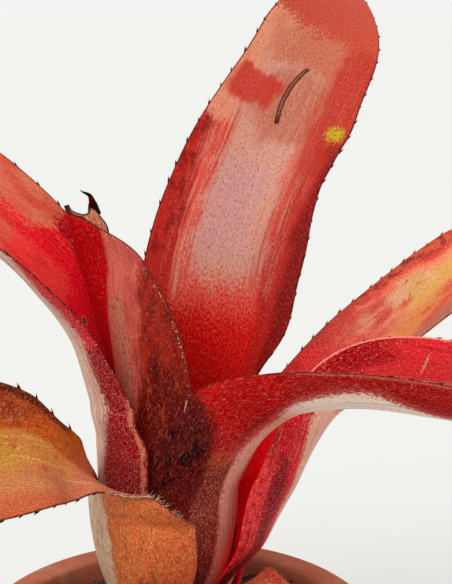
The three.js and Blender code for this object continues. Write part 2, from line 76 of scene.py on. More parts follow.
lamp_data = bpy.data.lights.new("lamp", "SUN")
lamp_data.energy = LAMP_STRENGTH
lamp_data.angle = LAMP_WIDTH
lamp = bpy.data.objects.new("lamp", lamp_data)
lamp.rotation_euler = LAMP_FROM.to_track_quat("Z", "Y").to_euler()
scene.collection.objects.link(lamp)

room = bpy.data.worlds.new("room")
room.use_nodes = True
room.node_tree.nodes["Background"].inputs["Color"].default_value = ROOM_COLOUR
room.node_tree.nodes["Background"].inputs["Strength"].default_value = ROOM_STRENGTH
scene.world = room
scene.view_settings.view_transform = "Standard"


def mesh_piece(name, vertices, faces, smooth=True):
    """A new mesh object, from vertices in metres."""
    mesh = bpy.data.meshes.new(name)
    mesh.from_pydata([tuple(v) for v in vertices], [], faces)
    mesh.polygons.foreach_set("use_smooth", [smooth] * len(mesh.polygons))
    mesh.update()
    piece = bpy.data.objects.new(name, mesh)
    scene.collection.objects.link(piece)
    return piece


half_paper = PAPER_SIZE / 2
paper = mesh_piece(
    "paper",
    [(x * half_paper, y * half_paper, 0) for x, y in ((-1, -1), (1, -1), (1, 1), (-1, 1))],
    [(0, 1, 2, 3)],
)
paper_finish = bpy.data.materials.new("paper")
paper_finish.use_nodes = True
paper_surface = paper_finish.node_tree.nodes["Principled BSDF"]
paper_surface.inputs["Base Color"].default_value = PAPER_COLOUR
paper_surface.inputs["Roughness"].default_value = 0.9
paper_surface.inputs["Specular IOR Level"].default_value = 0.1
paper.data.materials.append(paper_finish)


# ---- Pot ----
# A plain thrown clay pot with a rim band and three drain holes. It is unglazed terracotta,
# turned on a wheel, so fine rings run round it, and lime has bloomed through the wall.

MM = 0.001
_, pot_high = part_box("pot")
POT_HEIGHT = pot_high.z
POT_FOOT_RADIUS = 0.031
POT_MOUTH_RADIUS = 0.042
POT_WALL = 0.004
POT_FLOOR = 0.005
RIM_HEIGHT = 0.015
RIM_OVERHANG = pot_high.x - POT_MOUTH_RADIUS
POT_SIDES = 160
POT_ROUNDING = 0.0014
POT_STEP = 0.0012
DRAIN_RADIUS = 0.004
DRAIN_OFFSET = 0.017
DRAIN_COUNT = 3
CLAY = (188, 106, 74)
CLAY_DARK = (150, 78, 52)
CLAY_BLOOM = (214, 176, 150)
CLAY_DAMP = (118, 60, 42)
CLAY_GRIT = (226, 190, 160)


def colour(rgb):
    """The linear colour that a shader takes, from one in display values from 0 to 255 that was
    picked as it looks under the light set for its piece."""
    linear = [c / 255 / 12.92 if c <= 10 else ((c / 255 + 0.055) / 1.055) ** 2.4 for c in rgb]
    return (*[min(c / light, 1) for c in linear], 1)


def node(kind, inputs=(), output=0, **settings):
    """Lays down a node in the tree in hand, and hands back one of its outputs, or None for it all."""
    made = tree.nodes.new("ShaderNode" + kind)
    for name, value in settings.items():
        setattr(made, name, value)
    feed(made, inputs)
    return made if output is None else made.outputs[output]


def feed(target, inputs):
    """Links or sets a node's inputs, given by name or by number."""
    for title, value in dict(inputs).items():
        if isinstance(value, bpy.types.NodeSocket):
            tree.links.new(value, target.inputs[title])
        elif value is not None:
            target.inputs[title].default_value = value


def calc(operation, a, b=None):
    return node("Math", {0: a, 1: b}, operation=operation)


def add(a, b):
    return calc("ADD", a, b)


def less(a, b):
    return calc("SUBTRACT", a, b)


def times(*factors):
    product = factors[0]
    for factor in factors[1:]:
        product = calc("MULTIPLY", product, factor)
    return product


def axes(vector):
    return node("SeparateXYZ", {0: vector}, output=None).outputs


def fade(value, start, end, low=0.0, high=1.0):
    """Goes softly from low to high as the value goes from start to end."""
    inputs = {"Value": value, 1: start, 2: end, 3: low, 4: high}
    return node("MapRange", inputs, interpolation_type="SMOOTHSTEP")


def stretched(place, scale, shift=(0, 0, 0)):
    """The place with each of its directions scaled, then shifted."""
    scaled = node("VectorMath", {0: place, 1: scale}, operation="MULTIPLY")
    return node("VectorMath", {0: scaled, 1: shift}, operation="ADD")


def noise(place, scale=1.0, detail=2.0, roughness=0.5, warp=0.0, output=0):
    inputs = {"Vector": place, "Scale": scale, "Detail": detail, "Roughness": roughness, "Distortion": warp}
    return node("TexNoise", inputs, output)


def bumpy(height, distance, strength=1.0, under=None):
    """The normal over a height from 0 to 1 that stands for a distance in metres."""
    return node("Bump", {"Height": height, "Distance": distance, "Strength": strength, "Normal": under})


def new_effect(name, inputs, output):
    """Takes a new node group in hand. Returns what it is given, and its end node."""
    global tree
    tree = bpy.data.node_groups.new(name, "ShaderNodeTree")
    for title, value in {"Place": (0, 0, 0), **inputs}.items():
        kind = "NodeSocketVector" if isinstance(value, tuple) else "NodeSocketFloat"
        tree.interface.new_socket(title, in_out="INPUT", socket_type=kind).default_value = value
    tree.interface.new_socket(output, in_out="OUTPUT", socket_type="NodeSocketFloat")
    return tree.nodes.new("NodeGroupInput").outputs, tree.nodes.new("NodeGroupOutput")


def new_finish(name, base, studio_light=1.0):
    """Takes a new material in hand, in one base colour. Returns it and its surface shader."""
    global tree, light, shade
    material = bpy.data.materials.new(name)
    material.use_nodes = True
    tree, light = material.node_tree, studio_light
    shade = colour(base)
    return material, tree.nodes["Principled BSDF"]


def coat(amount, linear, blend="MIX"):
    global shade
    inputs = {0: amount, 6: shade, 7: linear}
    shade = node("Mix", inputs, output=2, data_type="RGBA", blend_type=blend)


def lay(rgb, *masks):
    """Lays a colour over the rest, as far as all of the masks and shares from 0 to 1 let it."""
    coat(times(*masks), colour(rgb))


def ring_faces(rows, sides):
    """The faces between one closed ring of vertices and the next."""
    return [
        (i * sides + k, i * sides + (k + 1) % sides, (i + 1) * sides + (k + 1) % sides, (i + 1) * sides + k)
        for i in range(rows - 1) for k in range(sides)
    ]


def turned_piece(name, profile, sides, wobble=None):
    """A lathe-turned piece from its closed run of (radius, height) points, from axis to axis."""
    vertices = []
    for r, z in profile[1:-1]:
        for k in range(sides):
            angle = 2 * math.pi * k / sides
            dr, dz = wobble(r, z, angle) if wobble else (0, 0)
            vertices.append(((r + dr) * math.cos(angle), (r + dr) * math.sin(angle), z + dz))
    vertices += [(0, 0, profile[0][1]), (0, 0, profile[-1][1])]
    last = (len(profile) - 3) * sides
    faces = ring_faces(len(profile) - 2, sides)
    for k in range(sides):
        after = (k + 1) % sides
        faces.append((len(vertices) - 2, after, k))
        faces.append((len(vertices) - 1, last + k, last + after))
    return mesh_piece(name, vertices, faces)


def rounded(corners, radius, steps=4):
    """A profile with its inner corners rounded by a radius."""
    run = [corners[0]]
    for before, corner, after in zip(corners, corners[1:], corners[2:]):
        before, corner, after = [np.array(p) for p in (before, corner, after)]
        sides = [before - corner, after - corner]
        lengths = [np.linalg.norm(side) for side in sides]
        reach = min(radius, 0.45 * min(lengths))
        a, b = [corner + side / length * reach for side, length in zip(sides, lengths)]
        for k in range(steps + 1):
            f = k / steps
            run.append(tuple((1 - f) ** 2 * a + 2 * f * (1 - f) * corner + f**2 * b))
    return run + [corners[-1]]


def finely(profile, step):
    """A profile with points no further apart than a step."""
    run = [profile[0]]
    for (r0, z0), (r1, z1) in zip(profile, profile[1:]):
        parts = max(1, math.ceil(math.hypot(r1 - r0, z1 - z0) / step))
        run += [(r0 + (r1 - r0) * k / parts, z0 + (z1 - z0) * k / parts) for k in range(1, parts + 1)]
    return run


def pot_radius(z):
    return POT_FOOT_RADIUS + (POT_MOUTH_RADIUS - POT_FOOT_RADIUS) * z / POT_HEIGHT


def turning_marks(r, z, angle):
    """Shallow rings, and a slow wander of the thrower's hand."""
    if r < 0.02 or z < 0.002:
        return 0, 0
    rings = 0.00007 * math.sin(z * 2900 + 0.6 * math.sin(angle)) + 0.00005 * math.sin(z * 4700 + 1)
    return rings + 0.00012 * math.sin(2 * angle + z * 60), 0


rim_low = POT_HEIGHT - RIM_HEIGHT
pot_profile = [
    (0, 0),
    (POT_FOOT_RADIUS, 0),
    (pot_radius(rim_low), rim_low),
    (pot_radius(rim_low) + RIM_OVERHANG, rim_low + 0.0015),
    (pot_radius(POT_HEIGHT) + RIM_OVERHANG, POT_HEIGHT),
    (pot_radius(POT_HEIGHT) - POT_WALL, POT_HEIGHT),
    (pot_radius(POT_FLOOR) - POT_WALL, POT_FLOOR),
    (0, POT_FLOOR),
]
pot_run = finely(rounded(pot_profile, POT_ROUNDING), POT_STEP)
pot = turned_piece("clay_pot", pot_run, POT_SIDES, turning_marks)
drills = bmesh.new()
for i in range(DRAIN_COUNT):
    angle = 2 * math.pi * i / DRAIN_COUNT
    middle = (DRAIN_OFFSET * math.cos(angle), DRAIN_OFFSET * math.sin(angle), POT_FLOOR / 2)
    bmesh.ops.create_cone(
        drills, cap_ends=True, segments=32, radius1=DRAIN_RADIUS, radius2=DRAIN_RADIUS,
        depth=3 * POT_FLOOR, matrix=Matrix.Translation(middle),
    )
drill_mesh = bpy.data.meshes.new("drills")
drills.to_mesh(drill_mesh)
drills.free()
drill = bpy.data.objects.new("drills", drill_mesh)
scene.collection.objects.link(drill)


def cut_away(piece, tool):
    """Cuts the tool out of the piece for good, and takes the tool away."""
    cut = piece.modifiers.new("cut", "BOOLEAN")
    cut.operation = "DIFFERENCE"
    cut.object = tool
    cut.solver = "EXACT"
    seen = bpy.context.evaluated_depsgraph_get()
    shape = bpy.data.meshes.new_from_object(piece.evaluated_get(seen))
    piece.modifiers.clear()
    piece.data = shape
    bpy.data.objects.remove(tool)


cut_away(pot, drill)

clay, surface = new_finish("terracotta", CLAY)
place = node("TexCoord", output="Object")
cloud = noise(place, 38, 5, 0.6)
grit = noise(place, 1400, 3, 0.7)
rings = noise(stretched(place, (25, 25, 900)), 1, 3, 0.6)
height = axes(place)[2]
bloom = times(fade(noise(place, 55, 6, 0.65, 0.6), 0.5, 0.72), fade(height, 0, 0.045, 0.9, 0.35))
damp = times(fade(height, 0.030, 0.002), fade(cloud, 0.35, 0.65, 0.4, 1.0))
lay(CLAY_DARK, fade(cloud, 0.3, 0.7))
lay(CLAY_DARK, 0.25, fade(rings, 0.45, 0.7))
lay(CLAY_DAMP, 0.45, damp)
lay(CLAY_BLOOM, 0.6, bloom)
lay(CLAY_GRIT, 0.5, fade(grit, 0.62, 0.75))
feed(surface, {
    "Base Color": shade, "Roughness": fade(bloom, 0, 1, 0.78, 0.95), "Specular IOR Level": 0.3,
    "Normal": bumpy(add(times(rings, 0.6), times(grit, 0.4)), 0.0003, 0.7),
})
pot.data.materials.clear()
pot.data.materials.append(clay)
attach(pot, "root")
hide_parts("pot")


# ---- Growing mix ----
# Composted bark poured round the caudex to just below the rim: a crumbly bed of fine
# fibre with flat broken chips of pine bark lying on it at all angles.

MIX_TOP = 0.076
MIX_GAP = 0.0003
MIX_HOLE = 0.0125
MIX_SIDES = 150
MIX_ROUNDING = 0.0008
MIX_STEP = 0.0009
MIX_DISH = 0.0006
MIX_LUMP_DEPTH = 0.004
MIX_LUMPS = ((900, 3, 0.0006), (2400, 4, 0.0004))  # waves per metre, seed, height
CHIP_COUNT = 420
CHIP_SEED = 11
CHIP_LENGTH = (0.003, 0.011)
CHIP_WIDTH = (0.4, 0.75)  # of its length
CHIP_THICKNESS = (0.0009, 0.0024)
CHIP_TILT = 0.45
CHIP_PITCH = 0.35
CHIP_LIFT = (-0.0012, 0.0014)
BARK = (92, 58, 38)
BARK_DARK = (52, 32, 22)
BARK_PALE = (150, 108, 74)
BARK_BLACK = (34, 22, 16)


def value_noise(points, scale, seed):
    """Smooth noise from -1 to 1 at points given in metres: a few crossing waves."""
    chance = np.random.default_rng(seed)
    total = np.zeros(len(points))
    for _ in range(7):
        heading = chance.normal(size=3)
        heading *= scale * chance.uniform(0.6, 1.6) / np.linalg.norm(heading)
        total += np.sin(points @ heading + chance.uniform(0, 2 * math.pi))
    return total / 4


mix_edge = pot_radius(MIX_TOP) - POT_WALL - MIX_GAP
mix_profile = [
    (0, POT_FLOOR + MIX_GAP),
    (pot_radius(POT_FLOOR) - POT_WALL - MIX_GAP, POT_FLOOR + MIX_GAP),
    (mix_edge, MIX_TOP - 2 * MIX_DISH),
    (0, MIX_TOP - MIX_DISH),
]
mix = turned_piece("bark_mix", finely(rounded(mix_profile, MIX_ROUNDING), MIX_STEP), MIX_SIDES)
bed = np.array([vertex.co[:] for vertex in mix.data.vertices])
lumps = sum(value_noise(bed, scale, seed) * rise for scale, seed, rise in MIX_LUMPS)
for vertex, rise in zip(mix.data.vertices, lumps):
    if vertex.co.z > MIX_TOP - MIX_LUMP_DEPTH:
        vertex.co.z += rise


def bark_chip(chance, length, width, thickness):
    """A broken flake of bark: a bent slab with a ragged outline. Vertices about its own middle."""
    across, along = 9, 13
    ragged = chance.uniform(0.75, 1.1, size=(2, along))
    taper = 1 - 0.5 * np.abs(np.linspace(-1, 1, along)) ** chance.uniform(2, 5)
    bow = chance.uniform(-0.25, 0.25)
    twist = chance.uniform(-0.5, 0.5)
    grain = chance.normal(size=(along, across)) * 0.09
    top, bottom = [], []
    for i, x in enumerate(np.linspace(-0.5, 0.5, along)):
        for j, y in enumerate(np.linspace(-0.5, 0.5, across)):
            side = ragged[0 if y < 0 else 1, i]
            py = y * width * side * taper[i]
            rim = (1 - abs(2 * y) ** 6) * (1 - abs(2 * x) ** 8)
            pz = bow * length * (x * x - 0.08) + twist * x * py
            px = x * length * (1 + 0.08 * math.sin(9 * y + 4 * bow))
            layers = 0.12 * thickness * round(3 * math.sin(5 * y + 3 * x + 20 * twist))
            top.append((px, py, pz + thickness * (0.1 + 0.4 * rim + grain[i, j]) + layers * rim))
            bottom.append((px, py, pz - thickness * (0.1 + 0.4 * rim)))
    count = along * across
    rows = [(i * across, (i + 1) * across) for i in range(along - 1)]
    faces = []
    for row, above in rows:
        for j in range(across - 1):
            a, b, c, d = row + j, above + j, above + j + 1, row + j + 1
            faces += [(a, b, c, d), (count + d, count + c, count + b, count + a)]
    last, far = across - 1, (along - 1) * across
    rims = [(row + j, above + j, flip) for row, above in rows for j, flip in ((0, 1), (last, 0))]
    rims += [(row + j, row + j + 1, flip) for j in range(last) for row, flip in ((0, 0), (far, 1))]
    for a, b, flip in rims:
        quad = (a, count + a, count + b, b)
        faces.append(quad if flip else quad[::-1])
    return np.array(top + bottom), faces


def gathered(parts):
    """Several (vertices, faces) runs as one."""
    vertices, faces, offset = [], [], 0
    for points, some in parts:
        vertices.append(points)
        faces += [tuple(offset + k for k in face) for face in some]
        offset += len(points)
    return np.concatenate(vertices), faces


chance = np.random.default_rng(CHIP_SEED)
chips = []
for i in range(CHIP_COUNT):
    length = chance.uniform(*CHIP_LENGTH)
    width = length * chance.uniform(*CHIP_WIDTH)
    thickness = chance.uniform(*CHIP_THICKNESS)
    shape, shape_faces = bark_chip(chance, length, width, thickness)
    span = 0.55 * length
    out = math.sqrt(chance.uniform((MIX_HOLE + span) ** 2, (mix_edge - span) ** 2))
    where = 2 * math.pi * chance.uniform()
    turn = Matrix.Rotation(chance.uniform(0, 2 * math.pi), 3, "Z")
    tilt = Matrix.Rotation(chance.uniform(-CHIP_TILT, CHIP_TILT), 3, "X")
    pitch = Matrix.Rotation(chance.uniform(-CHIP_PITCH, CHIP_PITCH), 3, "Y")
    spun = shape @ np.array(turn @ tilt @ pitch).T
    lift = MIX_TOP + chance.uniform(*CHIP_LIFT)
    chips.append((spun + (out * math.cos(where), out * math.sin(where), lift), shape_faces))
chip_bed = mesh_piece("bark_chips", *gathered(chips), smooth=False)

bark, surface = new_finish("pine_bark", BARK_DARK)
place = node("TexCoord", output="Object")
per_chip = node("NewGeometry", output="Random Per Island")
fibre = noise(stretched(place, (900, 2600, 2600)), 1, 4, 0.65)
crumbs = noise(place, 240, 3, 0.6)
lay(BARK, fade(per_chip, 0.1, 0.9))
lay(BARK_PALE, fade(per_chip, 0.82, 0.97, 0, 0.75))
lay(BARK_PALE, 0.55, fade(fibre, 0.45, 0.7))
lay(BARK_BLACK, 0.55, fade(crumbs, 0.5, 0.66))
feed(surface, {
    "Base Color": shade, "Roughness": fade(crumbs, 0.3, 0.7, 0.75, 0.95), "Specular IOR Level": 0.25,
    "Normal": bumpy(add(fibre, crumbs), 0.0004, 0.8),
})
for piece in (mix, chip_bed):
    piece.data.materials.append(bark)
    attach(piece, "root")
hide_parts("growing_mix")


# ---- Caudex and roots ----
# The short woody stem that carries every sheath: corky, ringed with the scars of leaves
# that have dropped, and held in the mix by thin wiry roots.

PLANT_ZERO = POT_HEIGHT + 0.003  # the foot of the outermost sheath
TANK = [(0, 4.0), (10, 8.2), (20, 10.2), (30, 10.8), (45, 11.2), (60, 12.0)]  # height, radius
SHEATH_PITCH = 1.2
ROOT_SEAT = 0.75
STUMP = [(5, -42), (8, -38), (10.5, -18), (11.5, -6), (12.2, -1.5)]
SHEATH_FEET = 9
ROOT_COUNT = 16
ROOT_SEED = 23
ROOT_START = (0.0105, -0.0035)  # out from the axis, and up from the zero
ROOT_REACH = (0.003, 0.009)
ROOT_SWING = 0.004
ROOT_DROP = 0.012
ROOT_RADII = np.linspace(0.0006, 0.00035, 9)
CAUDEX_SIDES = 96
CAUDEX_STEP = 0.0005
CORK = (164, 124, 84)
CORK_DARK = (112, 78, 52)
CORK_BLACK = (66, 44, 30)


def curve_through(stations, values, first_slope=None):
    """A smooth curve through rows of values at uneven stations. Takes an array of places."""
    stations = np.array(stations, float)
    values = np.array(values, float)
    steps = np.diff(stations)
    chords = np.diff(values, axis=0) / steps[:, None]
    slopes = np.empty_like(values)
    slopes[0] = chords[0] if first_slope is None else first_slope
    slopes[-1] = chords[-1]
    weights = steps[:, None]
    slopes[1:-1] = (chords[:-1] * weights[1:] + chords[1:] * weights[:-1]) / (weights[1:] + weights[:-1])

    def at(places):
        places = np.clip(np.asarray(places, float), stations[0], stations[-1])
        i = np.clip(np.searchsorted(stations, places, side="left") - 1, 0, len(steps) - 1)
        step = steps[i]
        f = ((places - stations[i]) / step)[..., None]
        step = step[..., None]
        return (
            (2 * f**3 - 3 * f**2 + 1) * values[i]
            + (f**3 - 2 * f**2 + f) * step * slopes[i]
            + (3 * f**2 - 2 * f**3) * values[i + 1]
            + (f**3 - f**2) * step * slopes[i + 1]
        )

    return at


tank_radius = curve_through([z for z, _ in TANK], [[r] for _, r in TANK])


def sheath_radius(level, z):
    """The radius of the shell that a sheath of this level lies on, in mm, z above the zero."""
    return tank_radius(z)[..., 0] + SHEATH_PITCH * level


feet = [(float(sheath_radius(8 - k, k)) - ROOT_SEAT, k) for k in range(SHEATH_FEET)]
top_radius, top_z = feet[-1]
crown = [(top_radius / 2, top_z + top_radius / 2), (0, top_z + top_radius)]
caudex_run = [(0, STUMP[0][1]), *STUMP, *feet, *crown]
caudex_profile = [(r * MM, z * MM + PLANT_ZERO) for r, z in caudex_run]


def bark_rings(r, z, angle):
    """Leaf-scar rings and corky lumps, all pressed in from the plain form."""
    rings = 0.5 + 0.5 * math.sin(z * 2600 + 0.5 * math.sin(3 * angle))
    lumps = 0.5 + 0.5 * math.sin(7 * angle + z * 900) * math.sin(z * 1500 + 2 * angle)
    return (-0.00035 * rings - 0.0003 * lumps if r > 0.003 else 0), 0


caudex = turned_piece("woody_caudex", finely(caudex_profile, CAUDEX_STEP), CAUDEX_SIDES, bark_rings)


def tube(path, radii, sides=8, lead=None):
    """A closed round tube along a path, with pointed or capped ends. Returns vertices and faces."""
    path = np.asarray(path, float)
    tangents = np.gradient(path, axis=0)
    tangents /= np.linalg.norm(tangents, axis=1)[:, None]
    side = np.cross(tangents[0], (0.3, 0.5, 0.81) if lead is None else lead)
    side /= np.linalg.norm(side)
    vertices = []
    for point, tangent, radius in zip(path, tangents, radii):
        side = side - tangent * (side @ tangent)
        side /= np.linalg.norm(side)
        other = np.cross(tangent, side)
        wide, thin = radius if isinstance(radius, tuple) else (radius, radius)
        for k in range(sides):
            a = 2 * math.pi * k / sides
            vertices.append(point + wide * math.cos(a) * side + thin * math.sin(a) * other)
    last = (len(path) - 1) * sides
    ends = [tuple(range(sides))[::-1], tuple(range(last, last + sides))]
    return np.array(vertices), ring_faces(len(path), sides) + ends


chance = np.random.default_rng(ROOT_SEED)
roots = []
for i in range(ROOT_COUNT):
    angle = 2 * math.pi * (i + chance.uniform(-0.3, 0.3)) / ROOT_COUNT
    out = np.array([math.cos(angle), math.sin(angle), 0])
    start_z = PLANT_ZERO + ROOT_START[1] + chance.uniform(-0.001, 0.0005)
    reach = chance.uniform(*ROOT_REACH)
    swing = chance.uniform(-ROOT_SWING, ROOT_SWING) * np.array([-out[1], out[0], 0])
    path = []
    for f in np.linspace(0, 1, len(ROOT_RADII)):
        z = start_z - ROOT_DROP * f**1.6 + 0.0012 * math.sin(3 * f)
        path.append(out * (ROOT_START[0] + reach * f) + swing * f * f + (0, 0, z))
    roots.append(tube(path, ROOT_RADII))
root_bunch = mesh_piece("wiry_roots", *gathered(roots))

corky, surface = new_finish("corky_stem", CORK_DARK)
place = node("TexCoord", output="Object")
scars = noise(stretched(place, (180, 180, 1500)), 1, 4, 0.6)
crumbs = noise(place, 500, 4, 0.6)
lay(CORK, fade(scars, 0.35, 0.65))
lay(CORK_BLACK, fade(crumbs, 0.5, 0.7, 0, 0.7))
feed(surface, {
    "Base Color": shade, "Roughness": fade(crumbs, 0.3, 0.7, 0.7, 0.92),
    "Normal": bumpy(add(scars, crumbs), 0.0004, 0.8),
})
for piece in (caudex, root_bunch):
    piece.data.materials.append(corky)
    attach(piece, "root")
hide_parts("caudex")


# ---- Heart leaf ----
# The youngest leaf, still rolled, deep in the tank. Every leaf is one living blade: a sheath
# that wraps the tank, then a keeled strap that thins to its margins, which carry hooked
# spines. All of them are grown from the one form that is set up here.

SHEATH_THICKNESS = 0.8
KEEL_THICKNESS = 1.1
MARGIN_THICKNESS = 0.62
MARGIN_ROUNDING = 0.45
RIDGE_HEIGHT = 0.012
ROW_STEP = 0.8
END_LENGTH = 4.0  # of the finer rows at the tip
COLUMN_COUNT = 65
SPINE_SPACING = 4.8
SPINE_BASE = 1.7
SPINE_SWEEP = 0.35
SPINE_SINK = 0.35
SPINE_SIDES = 10
SPINE_RINGS = 9
SPINE_SEED = 5
DRAW_MULTIPLIER = 1664525
DRAW_STEP = 1013904223
DRAW_RANGE = 4294967296


def smooth(x, start, end):
    k = np.clip((np.asarray(x, float) - start) / (end - start), 0, 1)
    return k * k * (3 - 2 * k)


class Leaf:
    """One leaf's form, in mm. t runs along the keel from the neck, u from margin to margin."""

    def __init__(self, azimuth, level, root, neck, sheath, blade, tip, settle=18, waves=None):
        self.azimuth = math.radians(azimuth)
        self.level, self.root, self.neck, self.tip, self.settle = level, root, neck, tip, settle
        self.sheath_length = neck - root
        radial = np.array([math.cos(self.azimuth), math.sin(self.azimuth), 0])
        neck_radius = float(sheath_radius(level, neck))
        keel_points = [radial * neck_radius + (0, 0, neck), *[np.array(row[:3], float) for row in blade]]
        gaps = [np.linalg.norm(b - a) for a, b in zip(keel_points, keel_points[1:])]
        stations = np.concatenate([[0], np.cumsum(gaps)])
        self.length = stations[-1]
        wall_slope = float(sheath_radius(level, neck + 1) - sheath_radius(level, neck - 1)) / 2
        neck_slope = radial * wall_slope + (0, 0, 1)
        self.keel = curve_through(stations, keel_points, neck_slope / np.linalg.norm(neck_slope))
        arc = sheath[-1]
        neck_row = [0, neck_radius * math.radians(arc[0]), neck_radius * math.radians(arc[1]), *arc]
        self.sections = curve_through(stations, [neck_row, *[row[3:] for row in blade]])
        self.arcs = curve_through(np.linspace(0, 1, len(sheath)), sheath)
        waves = waves or [[0, 0, 0], [self.length, 0, 0]]
        self.waves = curve_through([row[0] for row in waves], [row[1:] for row in waves])

    def closing(self, t):
        if not self.tip:
            return np.ones_like(t)
        x = np.clip((t - (self.length - self.tip)) / self.tip, 0, 1)
        return np.maximum(1 - x * x, 0) ** 0.6

    def half_width(self, t, right):
        """From the keel to the margin along the surface; right is True for the right side."""
        column = np.where(right, 1, 0)
        z = self.neck + np.minimum(t, 0)
        arc = np.take_along_axis(self.arcs((z - self.root) / self.sheath_length), column[..., None], -1)
        in_sheath = sheath_radius(self.level, z) * np.radians(arc[..., 0])
        wide = np.take_along_axis(self.sections(t), column[..., None] + 1, -1)[..., 0]
        wave = np.take_along_axis(self.waves(t), column[..., None], -1)[..., 0]
        return np.where(t <= 0, in_sheath, wide * self.closing(t) + wave)

    def points(self, t, u):
        t, u = np.broadcast_arrays(np.asarray(t, float), np.asarray(u, float))
        right = u >= 0
        width = self.half_width(t, right)
        z = self.neck + np.minimum(t, 0)
        radius = sheath_radius(self.level, z)
        angle = self.azimuth - u * width / radius
        on_sheath = np.stack([radius * np.cos(angle), radius * np.sin(angle), z], -1)

        keel = self.keel(t)
        along = self.keel(np.clip(t + 0.5, 0.5, self.length)) - self.keel(np.maximum(t - 0.5, 0))
        along /= np.linalg.norm(along, axis=-1, keepdims=True)
        lean = np.arctan2(np.hypot(along[..., 0], along[..., 1]), along[..., 2])
        turn = np.arctan2(along[..., 1], along[..., 0]) - self.azimuth
        turn = (turn + math.pi) % (2 * math.pi) - math.pi
        behind = np.abs(turn) > math.pi / 2
        turn = np.where(behind, turn - np.sign(turn) * math.pi, turn)
        lean = np.where(behind, -lean, lean)
        free = smooth(t, 0, self.settle)
        heading = self.azimuth + turn * free
        level = np.cos(lean)
        upper = np.stack([-np.cos(heading) * level, -np.sin(heading) * level, np.sin(lean)], -1)
        # sections lie flat in the sheath and square to the keel in the blade
        axis = along * free[..., None] + np.array([0, 0, 1.0]) * (1 - free)[..., None]
        axis /= np.linalg.norm(axis, axis=-1, keepdims=True)
        upper -= axis * np.sum(upper * axis, axis=-1, keepdims=True)
        upper /= np.linalg.norm(upper, axis=-1, keepdims=True)
        across = np.cross(axis, upper)
        section = self.sections(t)
        roll = np.radians(section[..., 0])[..., None]
        rolled = across * np.cos(roll) + upper * np.sin(roll)
        upper = upper * np.cos(roll) - across * np.sin(roll)
        closed = 0.3 + 0.7 * self.closing(t)
        curl = np.radians(np.where(right, section[..., 4], section[..., 3])) * closed
        bend_radius = (width / curl)[..., None]
        swept = (curl * np.abs(u))[..., None]
        side = np.where(right, 1, -1)[..., None]
        on_blade = keel + rolled * side * bend_radius * np.sin(swept)
        on_blade = on_blade + upper * bend_radius * (1 - np.cos(swept))
        return np.where((t <= 0)[..., None], on_sheath, on_blade)

    def normals(self, t, u):
        """The direction that the inner face looks in."""
        t = np.clip(t, -self.sheath_length + 0.25, self.length - 0.5)
        u = np.clip(u, -0.99, 0.99)
        across = self.points(t, u + 0.01) - self.points(t, u - 0.01)
        along = self.points(t + 0.25, u) - self.points(t - 0.25, u)
        facing = np.cross(across, along)
        return facing / np.linalg.norm(facing, axis=-1, keepdims=True)


def draws(seed):
    """A seeded draw of numbers between two limits, the same as in the part's source."""
    state = seed

    def draw(least, most):
        nonlocal state
        state = (state * DRAW_MULTIPLIER + DRAW_STEP) % DRAW_RANGE
        return least + (most - least) * state / DRAW_RANGE

    return draw


def spine_places(leaf, height, first):
    """Where each margin's spines stand: (side, from, to, height), left margin first."""
    draw = draws(SPINE_SEED + leaf.level * 7 + round(math.degrees(leaf.azimuth)))
    last = leaf.length - (0.18 * leaf.tip if leaf.tip else 10)
    places = []
    for side in (-1, 1):
        at = first + draw(0, SPINE_SPACING)
        while height and at < last:
            size = draw(0.75, 1.25)
            places.append((side, at, at + SPINE_BASE * size, height * size))
            at += draw(0.75, 1.25) * SPINE_SPACING
    return places


def spine_shape(leaf, side, start, end, height):
    """One hooked spine, flattened like the margin that it grows from."""
    middle = (start + end) / 2
    t = np.array([start, middle, end])
    edge = leaf.points(t, np.full(3, float(side)))
    inside = leaf.points(t, np.full(3, side * 0.94))
    outward = edge[1] - inside[1]
    outward /= np.linalg.norm(outward)
    along = edge[2] - edge[0]
    along /= np.linalg.norm(along)
    facing = np.cross(outward, along)
    base = 0.45 * (end - start)
    path, radii = [], []
    shares = np.linspace(0, 1, SPINE_RINGS)
    for f in shares:
        rise = (height + SPINE_SINK) * f - SPINE_SINK
        path.append(edge[1] + outward * rise + along * (base + SPINE_SWEEP * height) * f**2.2)
        radii.append((base * (1 - f) ** 1.7 + 0.035, 0.24 * (1 - f) ** 1.2 + 0.03))
    return *tube(path, radii, SPINE_SIDES, lead=facing), np.repeat(shares, SPINE_SIDES), middle


